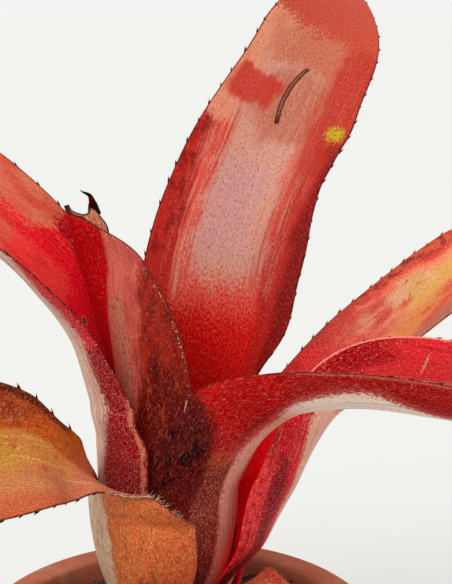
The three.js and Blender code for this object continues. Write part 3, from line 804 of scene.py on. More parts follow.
def leaf_piece(name, leaf, spines=0.0, spine_from=0.0, left_share=1.0, drawn=None, ripple=0.0,
               ripple_seed=1, extras=()):
    """The leaf as one mesh: blade and sheath as a closed skin, with its spines set in the margins.

    It carries two attributes for the finish: place = (mm along, mm across from the keel, mm in
    from the nearer margin) and part = (u, 1 on the inner face, share of the way up a spine)."""
    sheath_rows = np.linspace(-leaf.sheath_length, 0, max(4, round(leaf.sheath_length)), endpoint=False)
    fine_end = min(END_LENGTH, leaf.length / 4)
    blade_rows = np.linspace(0, leaf.length - fine_end, round((leaf.length - fine_end) / ROW_STEP))
    end_rows = leaf.length - fine_end * np.linspace(1, 0.02, 12)[1:] ** 2
    if not leaf.tip:
        end_rows = [leaf.length - 2.0, leaf.length]
    rows = np.concatenate([sheath_rows, blade_rows, end_rows])
    u = np.sin(np.linspace(-0.5, 0.5, COLUMN_COUNT) * math.pi)
    t, u = np.meshgrid(rows, u, indexing="ij")
    to_end = leaf.length - t
    if drawn is not None:
        t = drawn(t, u)
    width = leaf.half_width(t, u >= 0)
    middle = leaf.points(t, u)
    normal = leaf.normals(t, u)
    edge = (1 - np.abs(u)) * width
    blade_thickness = KEEL_THICKNESS + (MARGIN_THICKNESS - KEEL_THICKNESS) * np.abs(u) ** 1.5
    thickness = SHEATH_THICKNESS + (blade_thickness - SHEATH_THICKNESS) * smooth(t, 0, 25)
    round_off = 1 - np.clip(edge / MARGIN_ROUNDING, 0, 1)
    half = thickness / 2 * np.sqrt(np.maximum(1 - round_off**2, 0))
    across = u * width
    free = smooth(t, 6, 30)
    chance = np.random.default_rng(ripple_seed)
    waves = np.zeros_like(t)
    for _ in range(5):
        wave = np.sin(t / chance.uniform(2.6, 9) + across / chance.uniform(3, 12) + chance.uniform(0, 6.3))
        waves += wave * chance.uniform(0.5, 1)
    ridges = np.sin(across * 5.2 + 0.8 * np.sin(t / 9)) + 0.6 * np.sin(across * 9.1 + 1.1 * np.sin(t / 7))
    middle = middle + normal * (ripple * waves / 3 * free * (0.4 + 0.6 * np.abs(u)))[..., None]
    half = half + np.where(edge > 0.5, RIDGE_HEIGHT * ridges * free, 0)
    if drawn is not None:
        edge = np.minimum(edge, to_end)
    place = np.stack([t, across, edge], -1)
    part = np.stack([u, 1 + 0 * u, 0 * u], -1)
    skins = (
        (middle + normal * half[..., None], middle - normal * half[..., None]),
        (place, place), (part, part * (1, 0, 1)),
    )  # each on the inner face, then on the outer one
    loop, place, part = [np.concatenate([a, b[:, -2:0:-1]], axis=1) for a, b in skins]
    row_count, round_count = loop.shape[:2]
    faces = ring_faces(row_count, round_count)
    for i, root_end in ((0, True), (row_count - 1, False)):
        for j in range(COLUMN_COUNT - 1):
            corners = [j + 1, j, (round_count - j) % round_count, (round_count - j - 1) % round_count]
            corners = [i * round_count + k for k in dict.fromkeys(corners)]
            faces.append(tuple(corners if root_end else corners[::-1]))
    parts, places, kinds = [(loop.reshape(-1, 3), faces)], [place.reshape(-1, 3)], [part.reshape(-1, 3)]
    thorns = []
    for side, start, end, height in spine_places(leaf, spines, spine_from):
        share = left_share if side < 0 else 1.0
        thorns.append((*spine_shape(leaf, side, start, end, share * height), side))
    for vertices, thorn_faces, rise, along, side in [*thorns, *extras]:
        parts.append((vertices, thorn_faces))
        far = np.full(len(vertices), float(leaf.half_width(np.array(along), np.array(side > 0))))
        places.append(np.stack([np.full(len(vertices), along), side * far, 0 * far], -1))
        kinds.append(np.stack([np.full(len(vertices), float(side)), 0 * far + 1, rise], -1))
    vertices, faces = gathered(parts)
    piece = mesh_piece(name, vertices * MM + (0, 0, PLANT_ZERO), faces)
    for title, values in (("place", places), ("part", kinds)):
        attribute = piece.data.attributes.new(title, "FLOAT_VECTOR", "POINT")
        attribute.data.foreach_set("vector", np.concatenate(values).astype(np.float32).ravel())
    return piece


# Leaf finish effects. Place is (mm along, mm across, mm from the margin).

def drawn_out(size, stretch):
    """The scale at which one unit is a mark of this size, stretched along the leaf."""
    across = calc("DIVIDE", 1.0, size)
    return node("CombineXYZ", {0: calc("DIVIDE", across, stretch), 1: across, 2: 0.0})


# Scurf: the small pale scales of a bromeliad leaf, as dots or as dashes along the leaf.
given, end = new_effect("scurf", {"Spacing": 0.6, "Stretch": 1.5, "Cover": 0.5, "Size": 0.3}, "Mask")
scales = stretched(given["Place"], drawn_out(given["Spacing"], given["Stretch"]))
inputs = {"Vector": scales, "Scale": 1.0, "Randomness": 0.9}
cells = node("TexVoronoi", inputs, output=None, voronoi_dimensions="2D")
luck = node("SeparateColor", {0: cells.outputs["Color"]}, output=None).outputs
size = times(given["Size"], fade(luck[0], 0, 1, 0.55, 1.35))
dot = fade(calc("DIVIDE", cells.outputs["Distance"], size), 1.0, 0.55)
feed(end, {"Mask": times(dot, fade(less(given["Cover"], luck[1]), -0.02, 0.02))})

# Veins: long lines that wander a little and run from the sheath to the tip.
given, end = new_effect("veins", {"Width": 1.0, "Seed": 0.0}, "Value")
along, across, _ = axes(given["Place"])
wander = times(less(noise(stretched(given["Place"], (0.05, 0.08, 0))), 0.5), 2.2)
across = calc("DIVIDE", add(across, wander), given["Width"])
lines = node("CombineXYZ", {0: times(along, 0.035), 1: across, 2: given["Seed"]})
feed(end, {"Value": noise(lines, 1.0, 3, 0.6)})

# Brushed: short fine fibres that cross the leaf at two slants, under its wax.
given, end = new_effect("brushed", {"Width": 0.3}, "Value")
along, across, _ = axes(given["Place"])
fibres = []
for slant, seed in ((0.7, 3.0), (-0.7, 8.0)):
    a = calc("DIVIDE", add(along, times(across, slant)), given["Width"])
    b = times(less(across, times(along, slant)), 0.45)
    fibres.append(noise(node("CombineXYZ", {0: a, 1: b, 2: seed}), 1.0, 2, 0.6))
feed(end, {"Value": times(add(*fibres), 0.5)})

# Mottle: soft-edged stains that lie along the leaf.
inputs = {"Size": 4.0, "Stretch": 2.0, "Cover": 0.4, "Softness": 0.1, "Seed": 0.0}
given, end = new_effect("mottle", inputs, "Mask")
shift = node("CombineXYZ", dict.fromkeys(range(3), given["Seed"]))
stained = stretched(given["Place"], drawn_out(given["Size"], given["Stretch"]), shift)
cloud = noise(stained, 1.0, 4, 0.62, 0.4)
level = less(0.78, times(given["Cover"], 0.56))
feed(end, {"Mask": fade(cloud, less(level, given["Softness"]), add(level, given["Softness"]))})

# Mark: one stain, scar or scratch at a known place, with a ragged edge.
inputs = {"At": (0, 0, 0), "Length": 3.0, "Width": 1.0, "Turn": 0.0, "Ragged": 0.3, "Blur": 0.3}
given, end = new_effect("mark", inputs, "Mask")
offset = node("VectorMath", {0: given["Place"], 1: given["At"]}, operation="SUBTRACT")
x, y, _ = axes(node("VectorRotate", {"Vector": offset, "Angle": given["Turn"]}, rotation_type="Z_AXIS"))
x = calc("DIVIDE", x, given["Length"])
y = calc("DIVIDE", y, given["Width"])
reach = calc("SQRT", add(times(x, x), times(y, y)))
tear = times(less(noise(given["Place"], 1.6, 3, 0.6), 0.5), given["Ragged"], 4)
reach = times(add(reach, tear), 2)
feed(end, {"Mask": fade(reach, add(1.0, given["Blur"]), less(1.0, given["Blur"]))})


# A leaf's finish: colours are laid on in turn, from the flesh up to the scurf. Each one is
# picked as it looks in this studio. Places are mm along the keel and mm across from it.

STUDIO_LIGHT = 1.3  # how much brighter than its own colour a leaf looks here
FLECK_SCALE = (1.3, 2.1, 0)
GRAIN_SCALE = (0.7 / 0.42, 1 / 0.42, 0)
HORN = (38, 20, 18)
HORN_FOOT = (120, 44, 34)


def new_leaf_finish(name, flesh, studio_light=STUDIO_LIGHT):
    """Takes a leaf's finish in hand: all the words below then work on that one."""
    global material, surface, place, along, across, edge, inner, outer, spine, flecks, drifts, normal
    material, surface = new_finish(name, flesh, studio_light)
    place = node("Attribute", output="Vector", attribute_name="place")
    along, across, edge = axes(place)
    _, inner, spine = axes(node("Attribute", output="Vector", attribute_name="part"))
    outer = less(1.0, inner)
    flecks = noise(stretched(place, FLECK_SCALE), 1, 3, 0.72)
    drifts, normal = {}, None


def mask(name, *settings):
    """One of the effects above over this leaf, with its settings in the effect's own order."""
    return node("Group", enumerate((place, *settings)), node_tree=bpy.data.node_groups[name])


def streaks(width, low, high, seed=0.0):
    """Lengthwise streaks that come and go."""
    gaps = times(less(flecks, 0.5), 0.35)
    wander = times(drift(2)[0], 0.07)
    return fade(add(mask("veins", width, seed), add(gaps, wander)), low, high)


def scurf(spacing, stretch, cover, size):
    return mask("scurf", spacing, stretch, cover, size)


def stains(size, cover, stretch=2.0, softness=0.06, seed=0.0):
    return mask("mottle", size, stretch, cover, softness, seed)


def spot(x, y, length, width, turn=0.0, ragged=0.3, blur=0.3):
    return mask("mark", (x, y, 0), length, width, turn, ragged, blur)


def drift(size):
    """Two slow wanders of about -1 to 1 over the leaf, shared by the edges of one size."""
    if size not in drifts:
        spread = stretched(place, (0.5 / size, 1 / size, 0), (size, 2 * size, 0))
        clouds = axes(noise(spread, 1, 4, output="Color"))
        drifts[size] = [times(less(cloud, 0.5), 4.0) for cloud in clouds[:2]]
    return drifts[size]


def band(value, start, end, soft=0.0, size=4.0):
    """A fade from start to end, in mm, along a line that wanders by soft."""
    if soft:
        value = add(value, times(drift(size)[value is across], soft))
    return fade(value, start, end)


def between(value, low, high, blur):
    return times(fade(value, low - blur, low + blur), fade(value, high + blur, high - blur))


def zone(along_it, across_it, blur=1.0, soft=0.0, size=4.0):
    """A patch between two places along and two across. None leaves a side open."""
    masks = []
    for value, (low, high) in ((along, along_it), (across, across_it)):
        if low is not None:
            masks.append(band(value, low - blur, low + blur, soft, size))
        if high is not None:
            masks.append(band(value, high + blur, high - blur, soft, size))
    return times(*masks)


def rim(width):
    return fade(edge, 1.3 * width, 0.5 * width)


def frayed(*masks):
    """The masks together, their soft edges broken up into flecks of about half a millimetre."""
    whole = times(*masks)
    broken = add(whole, times(less(flecks, 0.5), 1.7))
    return times(fade(broken, 0.22, 0.78), fade(whole, 0, 0.12))


def fleck(rgb, amount, *masks):
    """Lays a colour with a frayed edge."""
    lay(rgb, amount, frayed(*masks))


def relief(height, millimetres):
    global normal
    normal = bumpy(height, millimetres * MM, 1.0, normal)


def ribs(coarse, fine, scales):
    """Lengthwise ribs, the finer nerves between them, and the grain of the scales, in mm."""
    relief(mask("veins", 1.6, 5), coarse)
    relief(mask("veins", 0.45, 9), fine)
    relief(mask("brushed", 0.3), scales)


def grain(pale, dark, amount):
    """Fine uneven colour, like cells seen through the skin."""
    cells = noise(stretched(place, GRAIN_SCALE), 1, 3, 0.7)
    lay(pale, amount, fade(cells, 0.5, 0.66))
    lay(dark, amount, fade(cells, 0.5, 0.34))
    coat(fade(flecks, 0.5, 0.36), (0.74, 0.6, 0.56, 1), "MULTIPLY")
    coat(fade(flecks, 0.54, 0.68), (0.15, 0.035, 0.025, 1), "SCREEN")


def dust(rgb, cover, amount, spacing=0.34, stretch=1.4):
    """Scurf: pale scales that lie on the skin and stand out from it, some brighter than others."""
    fine = scurf(spacing, stretch, cover, 0.27)
    bright = scurf(1.7 * spacing, stretch, times(cover, 0.5), 0.2)
    lay(rgb, amount, fine)
    lay(rgb, calc("MINIMUM", times(amount, 2.2), 0.9), bright)
    relief(add(fine, bright), 0.015)


def done(piece, replaced, roughness=0.42, horn=HORN, horn_foot=HORN_FOOT):
    """Gives the piece this finish, with its spines in dark horn, and takes it to the part's body."""
    lay(horn_foot, fade(spine, 0.02, 0.25))
    lay(horn, fade(spine, 0.2, 0.5))
    pores = noise(stretched(place, (0.6, 1.1, 0)), 1, 3, 0.6)
    feed(surface, {
        "Base Color": shade, "Roughness": fade(pores, 0.35, 0.65, roughness - 0.06, roughness + 0.08),
        "Specular IOR Level": 0.04, "Subsurface Weight": 0.15, "Subsurface Radius": (1.0, 0.2, 0.12),
        "Subsurface Scale": 0.0008, "Normal": normal,
    })
    piece.data.materials.append(material)
    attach(piece, "root")
    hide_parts(replaced)


leaf = Leaf(
    azimuth=250, level=0, root=8, neck=18,
    sheath=[[70, 70], [80, 80], [75, 75]],
    blade=[
        [-2.8, -7, 27, 0, 9, 9, 90, 90],
        [-1.5, -4.5, 35, 0, 7, 7, 90, 90],
        [0, -2.5, 42, 0, 4.5, 4.5, 80, 80],
    ],
    tip=18,
)
piece = leaf_piece("heart_leaf", leaf, spines=0.4, spine_from=12, ripple_seed=31)
new_leaf_finish("young_pink_leaf", (184, 62, 60))
lay((176, 160, 108), band(along, 16, -2, 4))
lay((150, 24, 40), 0.5, streaks(0.8, 0.45, 0.65))
lay((206, 120, 110), 0.6, rim(1.2))
ribs(0.09, 0.05, 0.025)
dust((232, 208, 198), 0.6, 0.25)
done(piece, "leaf_heart")


# ---- Inner left leaf ----
# A rolled inner leaf whose back faces outward, dark red, with a bitten tip: the bite left a
# round notch, and the sliver beyond it has dried to a dark claw.

BITE_REACH = 10
BITE_DEPTHS = [(-1, 3.6), (-0.75, 2.8), (-0.5, 1.9), (-0.25, 0.9), (0, 0), (0.25, 1.2), (0.5, 2.0),
               (0.65, 2.4), (0.8, 2.1), (0.9, 1.0), (1, 0)]  # by u
bite_depth = curve_through([u for u, _ in BITE_DEPTHS], [[depth] for _, depth in BITE_DEPTHS])

leaf = Leaf(
    azimuth=165, level=1, root=7, neck=40,
    sheath=[[60, 60], [100, 70], [115, 60]],
    blade=[
        [-13, 3.5, 50, -15, 24.3, 12, 112, 75],
        [-16, 4.5, 62, -30, 22, 10.6, 98, 90],
        [-18.8, 5.5, 72, -38, 17.5, 9.2, 90, 115],
        [-21.7, 6.5, 82, -42, 10.5, 8.6, 80, 105],
        [-23.7, 8, 89.5, -42, 2, 8.8, 50, 60],
    ],
    waves=[
        [0, 0, 0], [30, 0, 0], [36, 0, 2], [41, 0, 3.4], [45, 0, 2.9], [48, 0, 1.6], [51, 0, 0.8],
    ],
    tip=0,
)


def bitten(t, u):
    """Rows near the tip, drawn back along the edge of the bite."""
    return t - bite_depth(u)[..., 0] * smooth(t, leaf.length - BITE_REACH, leaf.length)


# the claw: a sliver of the far margin that outlived the bite, dry, flat and hooked
CLAW_PATH = [(-17.3, 15.3, 86.3), (-18.5, 15.3, 88.2), (-18.9, 14.7, 89.7), (-19.2, 14.3, 90.6),
             (-19.9, 14, 91.2), (-20.6, 13.8, 91.5), (-21.4, 13.5, 92.1)]
CLAW_WIDTHS = [1.0, 1.9, 1.35, 1.0, 0.7, 0.45, 0.05]
CLAW_THICKNESS = 0.34

steps = np.linspace(0, 6, 25)
widths = curve_through(range(7), [[width] for width in CLAW_WIDTHS])(steps)[:, 0]
claw_radii = [(width / 2, min(CLAW_THICKNESS, width) / 2) for width in widths]
claw = tube(curve_through(range(7), CLAW_PATH)(steps), claw_radii, sides=12, lead=(0, 1, 0))
claw = (*claw, np.repeat(smooth(steps, 1, 5.5), 12), 50.0, 1)

piece = leaf_piece("inner_left_leaf", leaf, drawn=bitten, ripple=0.12, ripple_seed=32, extras=[claw])
new_leaf_finish("dark_red_inner_leaf", (186, 0, 12))
fleck((214, 12, 26), 0.5, streaks(0.9, 0.42, 0.7, 2))
lay((120, 0, 6), 0.5, streaks(0.7, 0.5, 0.7, 4))
# the flank: a paler stripe with a straight inner edge, browner towards the margin; it is partly waxy bloom
# and partly a painted sheen
from_flank = add(across, times(along, 0.13))
pale_flank_and_sheen = band(from_flank, -3.2, -4.2, 0.4, 5)
lay((216, 104, 90), pale_flank_and_sheen)
lay((214, 110, 96), 0.4, pale_flank_and_sheen, streaks(0.4, 0.42, 0.66, 12))
lay((150, 30, 28), 0.45, pale_flank_and_sheen, frayed(streaks(0.4, 0.48, 0.66, 6)))
fleck((172, 64, 52), 0.55, pale_flank_and_sheen, band(from_flank, -5, -8), stains(3, 0.55, 2, 0.3, 17))
flush = band(add(across, times(along, 0.09)), -9, -15, 1.6)
fleck((148, 20, 12), 1, flush, band(along, 47, 37, 3))
streak = zone((8, 30), (-11.5, -7.5), 1.3, 1.2, 3)
fleck((190, 134, 104), 0.8, streak, streaks(0.5, 0.3, 0.6, 7))
fleck((84, 40, 32), 0.6, streak, stains(0.6, 0.34, 2.4))
rusty = frayed(flush, band(less(along, across), 58, 44, 3), stains(2.2, 0.6, 2.4))
lay((178, 50, 18), 0.5, rusty)
fleck((74, 14, 6), 0.6, flush, stains(1.6, 0.5, 2.2, 0.3))
low = times(band(less(along, times(across, 0.5)), 30, 16, 2.5), flush)
fleck((84, 10, 4), 0.85, low)
fleck((170, 60, 26), 0.6, low, stains(1.6, 0.36, seed=4))
lay((26, 14, 6), 0.85, spot(14, -17, 1.9, 1.0, ragged=0.8))
lay((40, 24, 10), 0.7, spot(22, -15.4, 1.5, 0.7, ragged=0.8))
# the inner face shows only as a small turned-over facet beside the claw
facet = times(inner, band(along, 32, 38, 3))
lay((206, 118, 92), facet)
fleck((236, 190, 160), 0.6, facet, streaks(0.6, 0.45, 0.66, 3))
fleck((176, 30, 26), 0.6, facet, streaks(0.8, 0.52, 0.72, 8))
dotted = times(between(edge, 0.5, 1.0, 0.2), scurf(0.7, 1.1, 0.8, 0.24), outer)
lay((226, 184, 150), 0.75, dotted, zone((None, 46), (None, -9), 3))
lay((96, 44, 28), 0.6, rim(0.5))
lay((50, 14, 10), 0.9, rim(0.24))
lay((34, 10, 8), rim(0.42), band(along, 46.5, 48))
grain((214, 48, 38), (90, 0, 2), amount=0.34)
ribs(0.07, 0.06, 0.03)
dust((224, 130, 104), fade(pale_flank_and_sheen, 0, 1, 0.12, 0.5), 0.14)
done(piece, "leaf_inner_left", 0.38, (26, 8, 10), (110, 16, 16))


# ---- Front right leaf ----
# The dark red leaf whose sheath wraps the tank's front. Its blade arches over to the right with
# its back outward: pale along the keel, partly with a painted reflection, and stained maroon at the foot.

leaf = Leaf(
    azimuth=-12, level=2, root=6, neck=28,
    sheath=[[60, 60], [74, 100], [60, 109]],
    blade=[
        [14.9, -3.8, 34.5, 3, 8, 25.5, 36, 92],
        [18.6, -5.1, 41.4, 4, 4.2, 24.2, 28, 80],
        [25.3, -8.4, 47.6, 9, 4.8, 20.2, 24, 65],
        [34.6, -10.7, 49.8, 13.5, 8, 15.9, 22, 60],
        [57, -14.2, 48.7, 4, 11.5, 15.9, 25, 73],
        [78.4, -17.1, 45.8, -0.5, 12, 17.3, 25, 56],
        [98.3, -19.9, 36.3, 6, 9, 10.2, 20, 27],
    ],
    tip=30,
)
piece = leaf_piece("front_right_leaf", leaf, spines=0.25, spine_from=34, ripple_seed=33)
new_leaf_finish("dark_red_front_leaf", (180, 8, 12))
fleck((214, 50, 44), 0.45, streaks(1.2, 0.3, 0.8, 9))
fleck((110, 4, 8), 0.5, streaks(1.0, 0.42, 0.72, 3))
fleck((216, 8, 12), 0.6, zone((16, 27), (10, 23), 2.5, 1.5))
# the pale keel, partly its own colour and partly a painted reflection of the bright room: pink low down,
# narrow at the bend, cream under the arch
pale_edge = add(fade(along, 11, 17, 7.4, 4.3), fade(along, 21, 29, 0, 5.3))
pale_edge = less(pale_edge, fade(along, 38, 56, 0, 4.5))
past_pale = less(across, pale_edge)
fleck((224, 96, 86), 0.6, band(past_pale, 4.4, 0, 0.6, 3))
pale_keel_and_reflection = frayed(band(past_pale, 2.4, -2.2, 0.6, 3))
lay((246, 172, 150), pale_keel_and_reflection)
lay((255, 206, 184), 0.5, pale_keel_and_reflection, streaks(0.8, 0.42, 0.7, 4))
keel_cream_lifted_for_shade = times(pale_keel_and_reflection, fade(along, 22, 31))
lay((276, 262, 242), keel_cream_lifted_for_shade)  # brighter than white, since it hangs in the arch's shade
lay((226, 150, 128), 0.4, keel_cream_lifted_for_shade, streaks(0.6, 0.48, 0.7, 12))
# the foot: deep maroon, stained, with dark smears
deep = band(less(along, times(less(across, 12), 0.55)), 20, 7, 3.2)
deep = times(deep, band(across, 12.6, 16, 1.2))
brown_foot = times(band(along, 13, 8, 2), band(past_pale, -0.2, 1.6, 0.5))
fleck((134, 50, 40), 0.95, brown_foot)
lay((224, 140, 116), 0.7, brown_foot, scurf(0.46, 1.6, 0.75, 0.32))
fleck((88, 12, 12), 0.92, deep)
fleck((140, 30, 20), 0.6, deep, stains(2.4, 0.5, 1.4, 0.2))
fleck((50, 6, 6), 0.6, zone((8, 18), (16, None), 3, 1.6, 3))
fleck((206, 92, 50), 0.4, zone((9, 13), (9, 14.5), 2.4, 1.6))
lay((214, 8, 10), zone((19, 26), (20, None), 1.2, 0.5))
smears = times(zone((2, 14), (14.5, None), 1.4, 0.8), stains(2.4, 0.42, 1.3, 0.03))
lay((10, 3, 3), 0.95, smears)
fleck((8, 3, 3), 0.8, spot(12, 16.6, 3.2, 0.9, 0.5, 0.5, 0.4))
lay((20, 8, 6), 0.85, zone((3, 16), (11, 20), 1.2, 0.8), stains(1.3, 0.22, 1.5, 0.03, 6))
lay((30, 8, 8), 0.9, spot(14.2, 18.6, 3.4, 0.3, 0.75, 0.3, 0.15))
lay((20, 8, 8), 0.9, spot(15.4, 20.6, 2.2, 0.45, 0.2, 0.3, 0.2))
# a thin pale line for the torn membrane, painted as the highlight on it
lay((236, 200, 176), 0.8, spot(16, 22.9, 1.6, 0.2, -0.3, 0.2, 0.15))
for x, y, size in (
    (6.8, 13.5, 0.7), (8.5, 18.5, 0.5), (22.3, 9.5, 0.45), (14.6, 5.4, 0.5), (30, 12, 0.4), (3, 7, 0.4),
):
    lay((24, 8, 6), 0.9, spot(x, y, size, size * 0.8, ragged=0.4))
lay((200, 122, 98), 0.55, band(along, 26, 34), rim(0.7))
lay((84, 20, 16), 0.9, rim(0.24))
# the inner face: redder and smoother, salmon where it bends over
lay((222, 14, 16), inner)
fleck((228, 84, 66), 0.85, inner, band(along, 34, 56, 4))
fleck((234, 140, 110), 0.6, inner, band(along, 40, 60, 4), streaks(1.6, 0.44, 0.7, 31))
fleck((150, 16, 20), 0.6, inner, stains(4, 0.4, 2.4, 0.2, 33))
clear = add(pale_keel_and_reflection, times(deep, 0.6))
grain((220, 76, 62), (78, 0, 4), amount=fade(clear, 0, 0.8, 0.4, 0.1))
ribs(0.07, 0.05, 0.04)
cover = fade(along, 24, 42, 0.55, 0.3)
dust((240, 166, 148), cover, fade(deep, 0, 0.6, 0.2, 0.05), 0.36, 1.8)
done(piece, "leaf_front_right", 0.36)


# ---- Back leaf ----
# The tall leaf behind the tank. Its inner face, bright red under a pale waxy bloom with a painted sheen on
# it, looks at the viewer; the bloom is rubbed through in streaks, and one old scar crosses it.

leaf = Leaf(
    azimuth=70, level=3, root=5, neck=26,
    sheath=[[55, 55], [68, 56], [66, 40]],
    blade=[
        [6, 15.5, 39, -4, 14.5, 13.5, 62, 38],
        [8.5, 18.5, 58, -12, 18, 17.5, 44, 38],
        [12, 23, 78, -24, 17.8, 18, 32, 32],
        [19.5, 31, 98, -34, 17.5, 17.5, 28, 28],
        [29.8, 43, 118, -38, 15.5, 15, 24, 24],
        [37.5, 57, 130, -34, 13.5, 13.5, 20, 20],
        [42, 72, 137, -25, 12, 12, 15, 15],
    ],
    waves=[
        [0, 0, 0], [26, 0.5, 0], [34, 0.9, 2.2], [46, 1.1, 1.7], [56, 1, 1.4], [66, 0.4, -0.4],
        [72, 0.1, -1.1], [80, -0.5, -0.1], [88, -1.1, 1.1], [96, -1.5, 0.9], [110, -0.6, 1],
        [125, 0, 0],
    ],
    tip=34,
)
piece = leaf_piece("back_leaf", leaf, spines=0.45, spine_from=22, ripple=0.15, ripple_seed=34)
new_leaf_finish("red_bloomed_leaf", (210, 0, 2))
fleck((232, 40, 30), 0.55, fade(along, 8, 42, 0.08, 0.6))
fleck((240, 112, 92), 0.65, band(along, 26, 52, 2))
lay((150, 0, 4), 0.5, frayed(fade(flecks, 0.5, 0.3, 0, 0.6)), band(along, 60, 40))
fleck((204, 84, 62), 1, band(along, 76, 98, 5))
fleck((176, 26, 24), 0.85, zone((None, 88), (10, None), 2.4, 1.2))
fleck((190, 18, 14), 0.8, zone((None, 82), (None, -12.5), 2, 1.2))
fleck((244, 166, 132), 0.9, zone((80, 112), (None, -6), 4, 2))
# the bloom: pale wax down the middle with a painted sheen on it, greyer in its heart, tan above, flecked
# and worn at its edges
upper = zone((80, 112), (-10, 9), 4, 3)
fleck((206, 128, 98), 0.85, upper)
leaning = less(across, fade(along, 50, 78, 3, 0))
middle = times(
    zone((None, 100), (-10, None), 3.4, 2.2), band(leaning, 9.5, 3.5, 2), band(along, 37, 54, 2)
)
fleck((216, 158, 138), 1, middle)
fleck((208, 152, 150), 0.8, zone((50, 74), (-8, 4), 5, 2.5))
fleck((186, 94, 66), 0.7, zone((80, 99), (-7, 10), 5, 3))
# pale streaks down the bloom: painted highlights
lay((230, 180, 158), 0.3, middle, streaks(0.9, 0.4, 0.75, 17))
rubbed = add(zone((40, 92), (-13.5, -8.5), 2.5, 0.9), zone((44, 92), (6, 12.5), 2.5, 0.9))
lay((232, 156, 134), 0.75, rubbed, streaks(0.8, 0.46, 0.6, 11))
lay((182, 26, 24), 0.75, rubbed, streaks(0.9, 0.5, 0.64, 15))
fleck((184, 76, 62), 0.4, zone((44, 92), (7, 13), 2.5, 0.9))
fleck((204, 40, 30), 0.85, zone((86, 94.5), (-14.5, -2.5), 2.4, 1.6, 3))
fleck((188, 50, 36), 0.75, zone((74, 112), (8, None), 4, 3))
lay((214, 96, 72), 0.4, zone((80, 112), (5, None), 3, 3), streaks(1.4, 0.4, 0.7, 19))
fleck((106, 6, 10), 0.7, zone((48, 80), (-19, -13), 2, 1), stains(2.0, 0.45, 1.6, 0.2))
fleck((96, 10, 12), 0.75, zone((26, 84), (15, None), 2.4, 1))
lay((120, 84, 70), 0.75, middle, fade(flecks, 0.36, 0.29))
lay((104, 72, 58), 0.7, zone((44, 104), (-9, 9), 2), scurf(1.0, 1.1, 0.4, 0.15))
lay((208, 186, 42), 0.92, spot(86, 14.2, 4.2, 4.4, ragged=0.3))
lay((130, 104, 24), 0.7, spot(86, 14.2, 4.2, 4.4), stains(0.8, 0.4, 1))
# the scar: a healed graze that bends away from the midrib
from_bend = less(along, 91)
scar_line = less(across, less(times(times(from_bend, from_bend), 0.021), 1.0))
off_scar = calc("ABSOLUTE", add(scar_line, times(drift(1.2)[0], 0.12)))
scar_reach = between(along, 84.3, 100.6, 0.5)
lay((84, 40, 26), fade(off_scar, 0.74, 0.5), scar_reach)
lay((142, 92, 66), 0.8, fade(off_scar, 0.44, 0.2), between(along, 86, 99.8, 0.6))
lay((60, 26, 16), spot(84.8, -0.3, 1.8, 0.8))
lay((90, 16, 12), 0.9, rim(0.28))
lay((160, 14, 20), 0.65, outer)
fleck((206, 150, 140), 0.4, outer, stains(5, 0.4, 0.25, 0.2, 9))
grain((240, 34, 26), (124, 0, 2), amount=fade(middle, 0, 0.8, 0.4, 0.2))
ribs(0.08, 0.06, 0.04)
relief(times(fade(off_scar, 0.6, 0.2), scar_reach), 0.2)
dust((246, 112, 94), fade(along, 18, 42, 0.2, 0.6), 0.16)
done(piece, "leaf_back", 0.42)


# ---- Right leaf ----
# The leaf behind the front right one, folded along its keel, back outward. Its sheath lies
# further out on the caudex, and its pale margins carry small spines.

leaf = Leaf(
    azimuth=18, level=4, root=4, neck=8,
    sheath=[[50, 52], [54, 62], [52, 66]],
    blade=[
        [18, 6.3, 15.2, 0, 15, 21.5, 48, 70],
        [24.5, 8.3, 24.5, 6, 11, 21.2, 70, 84],
        [30.9, 10.5, 35.1, 20, 10, 18.5, 58, 74],
        [37.5, 12.5, 43.1, 38, 9, 16.3, 28, 60],
        [57.7, 17.5, 44.6, 33.5, 9.5, 17.4, 28, 54],
        [78.1, 21, 42.8, 21.5, 11, 15.1, 25, 38],
        [100, 25, 33.9, 7.5, 10, 11.1, 20, 27],
    ],
    tip=32,
)
piece = leaf_piece("right_leaf", leaf, spines=0.3, spine_from=26, ripple_seed=35)
# a lower studio light than the rest: this leaf is painted lighter than its own colour to make up for facing
# away from the lamp
new_leaf_finish("pink_red_leaf", (236, 40, 48), 1.08)
fleck((172, 0, 14), 1, band(along, 24, 32, 2), band(along, 64, 46, 2), band(across, 8, 12))
fleck((216, 16, 30), 0.8, band(along, 44, 34, 3))
fleck((126, 2, 22), 0.85, zone((None, 29), (12, 18), 2.2, 1.8, 3))
fleck((96, 4, 20), 0.6, zone((None, 28), (13.5, 16.5), 2, 1.2, 3))
by_margin = zone((None, 36), (17.6, None), 0.9, 0.6)
fleck((224, 58, 60), 0.8, by_margin)
lay((140, 0, 16), 0.8, by_margin, stains(1.3, 0.42, 1.6, 0.1, 21))
keel_bloom = frayed(band(across, 12.5, 7.5, 1, 5), band(along, 47, 40, 3))
lay((240, 190, 166), 0.95, keel_bloom)
fleck((196, 160, 120), 0.5, zone((None, 27), (None, 8), 2, 1.5))
fleck((224, 104, 94), 0.7, zone((44, None), (None, 6.5), 1.4, 0.8))
fleck((240, 130, 122), 0.4, zone((28, 46), (8.5, 15), 2), streaks(0.9, 0.44, 0.66, 4))
fleck((130, 4, 20), 0.4, streaks(0.9, 0.5, 0.7, 14))
lay((244, 196, 168), 0.6, spot(61, 11, 0.5, 4.6, 0.15, 0.35))
lay((244, 168, 144), 0.8, band(along, 30, 36), rim(0.3))
lay((120, 6, 14), 0.6, between(edge, 0.4, 1.1, 0.3), stains(0.9, 0.3, 1.2, 0.03))
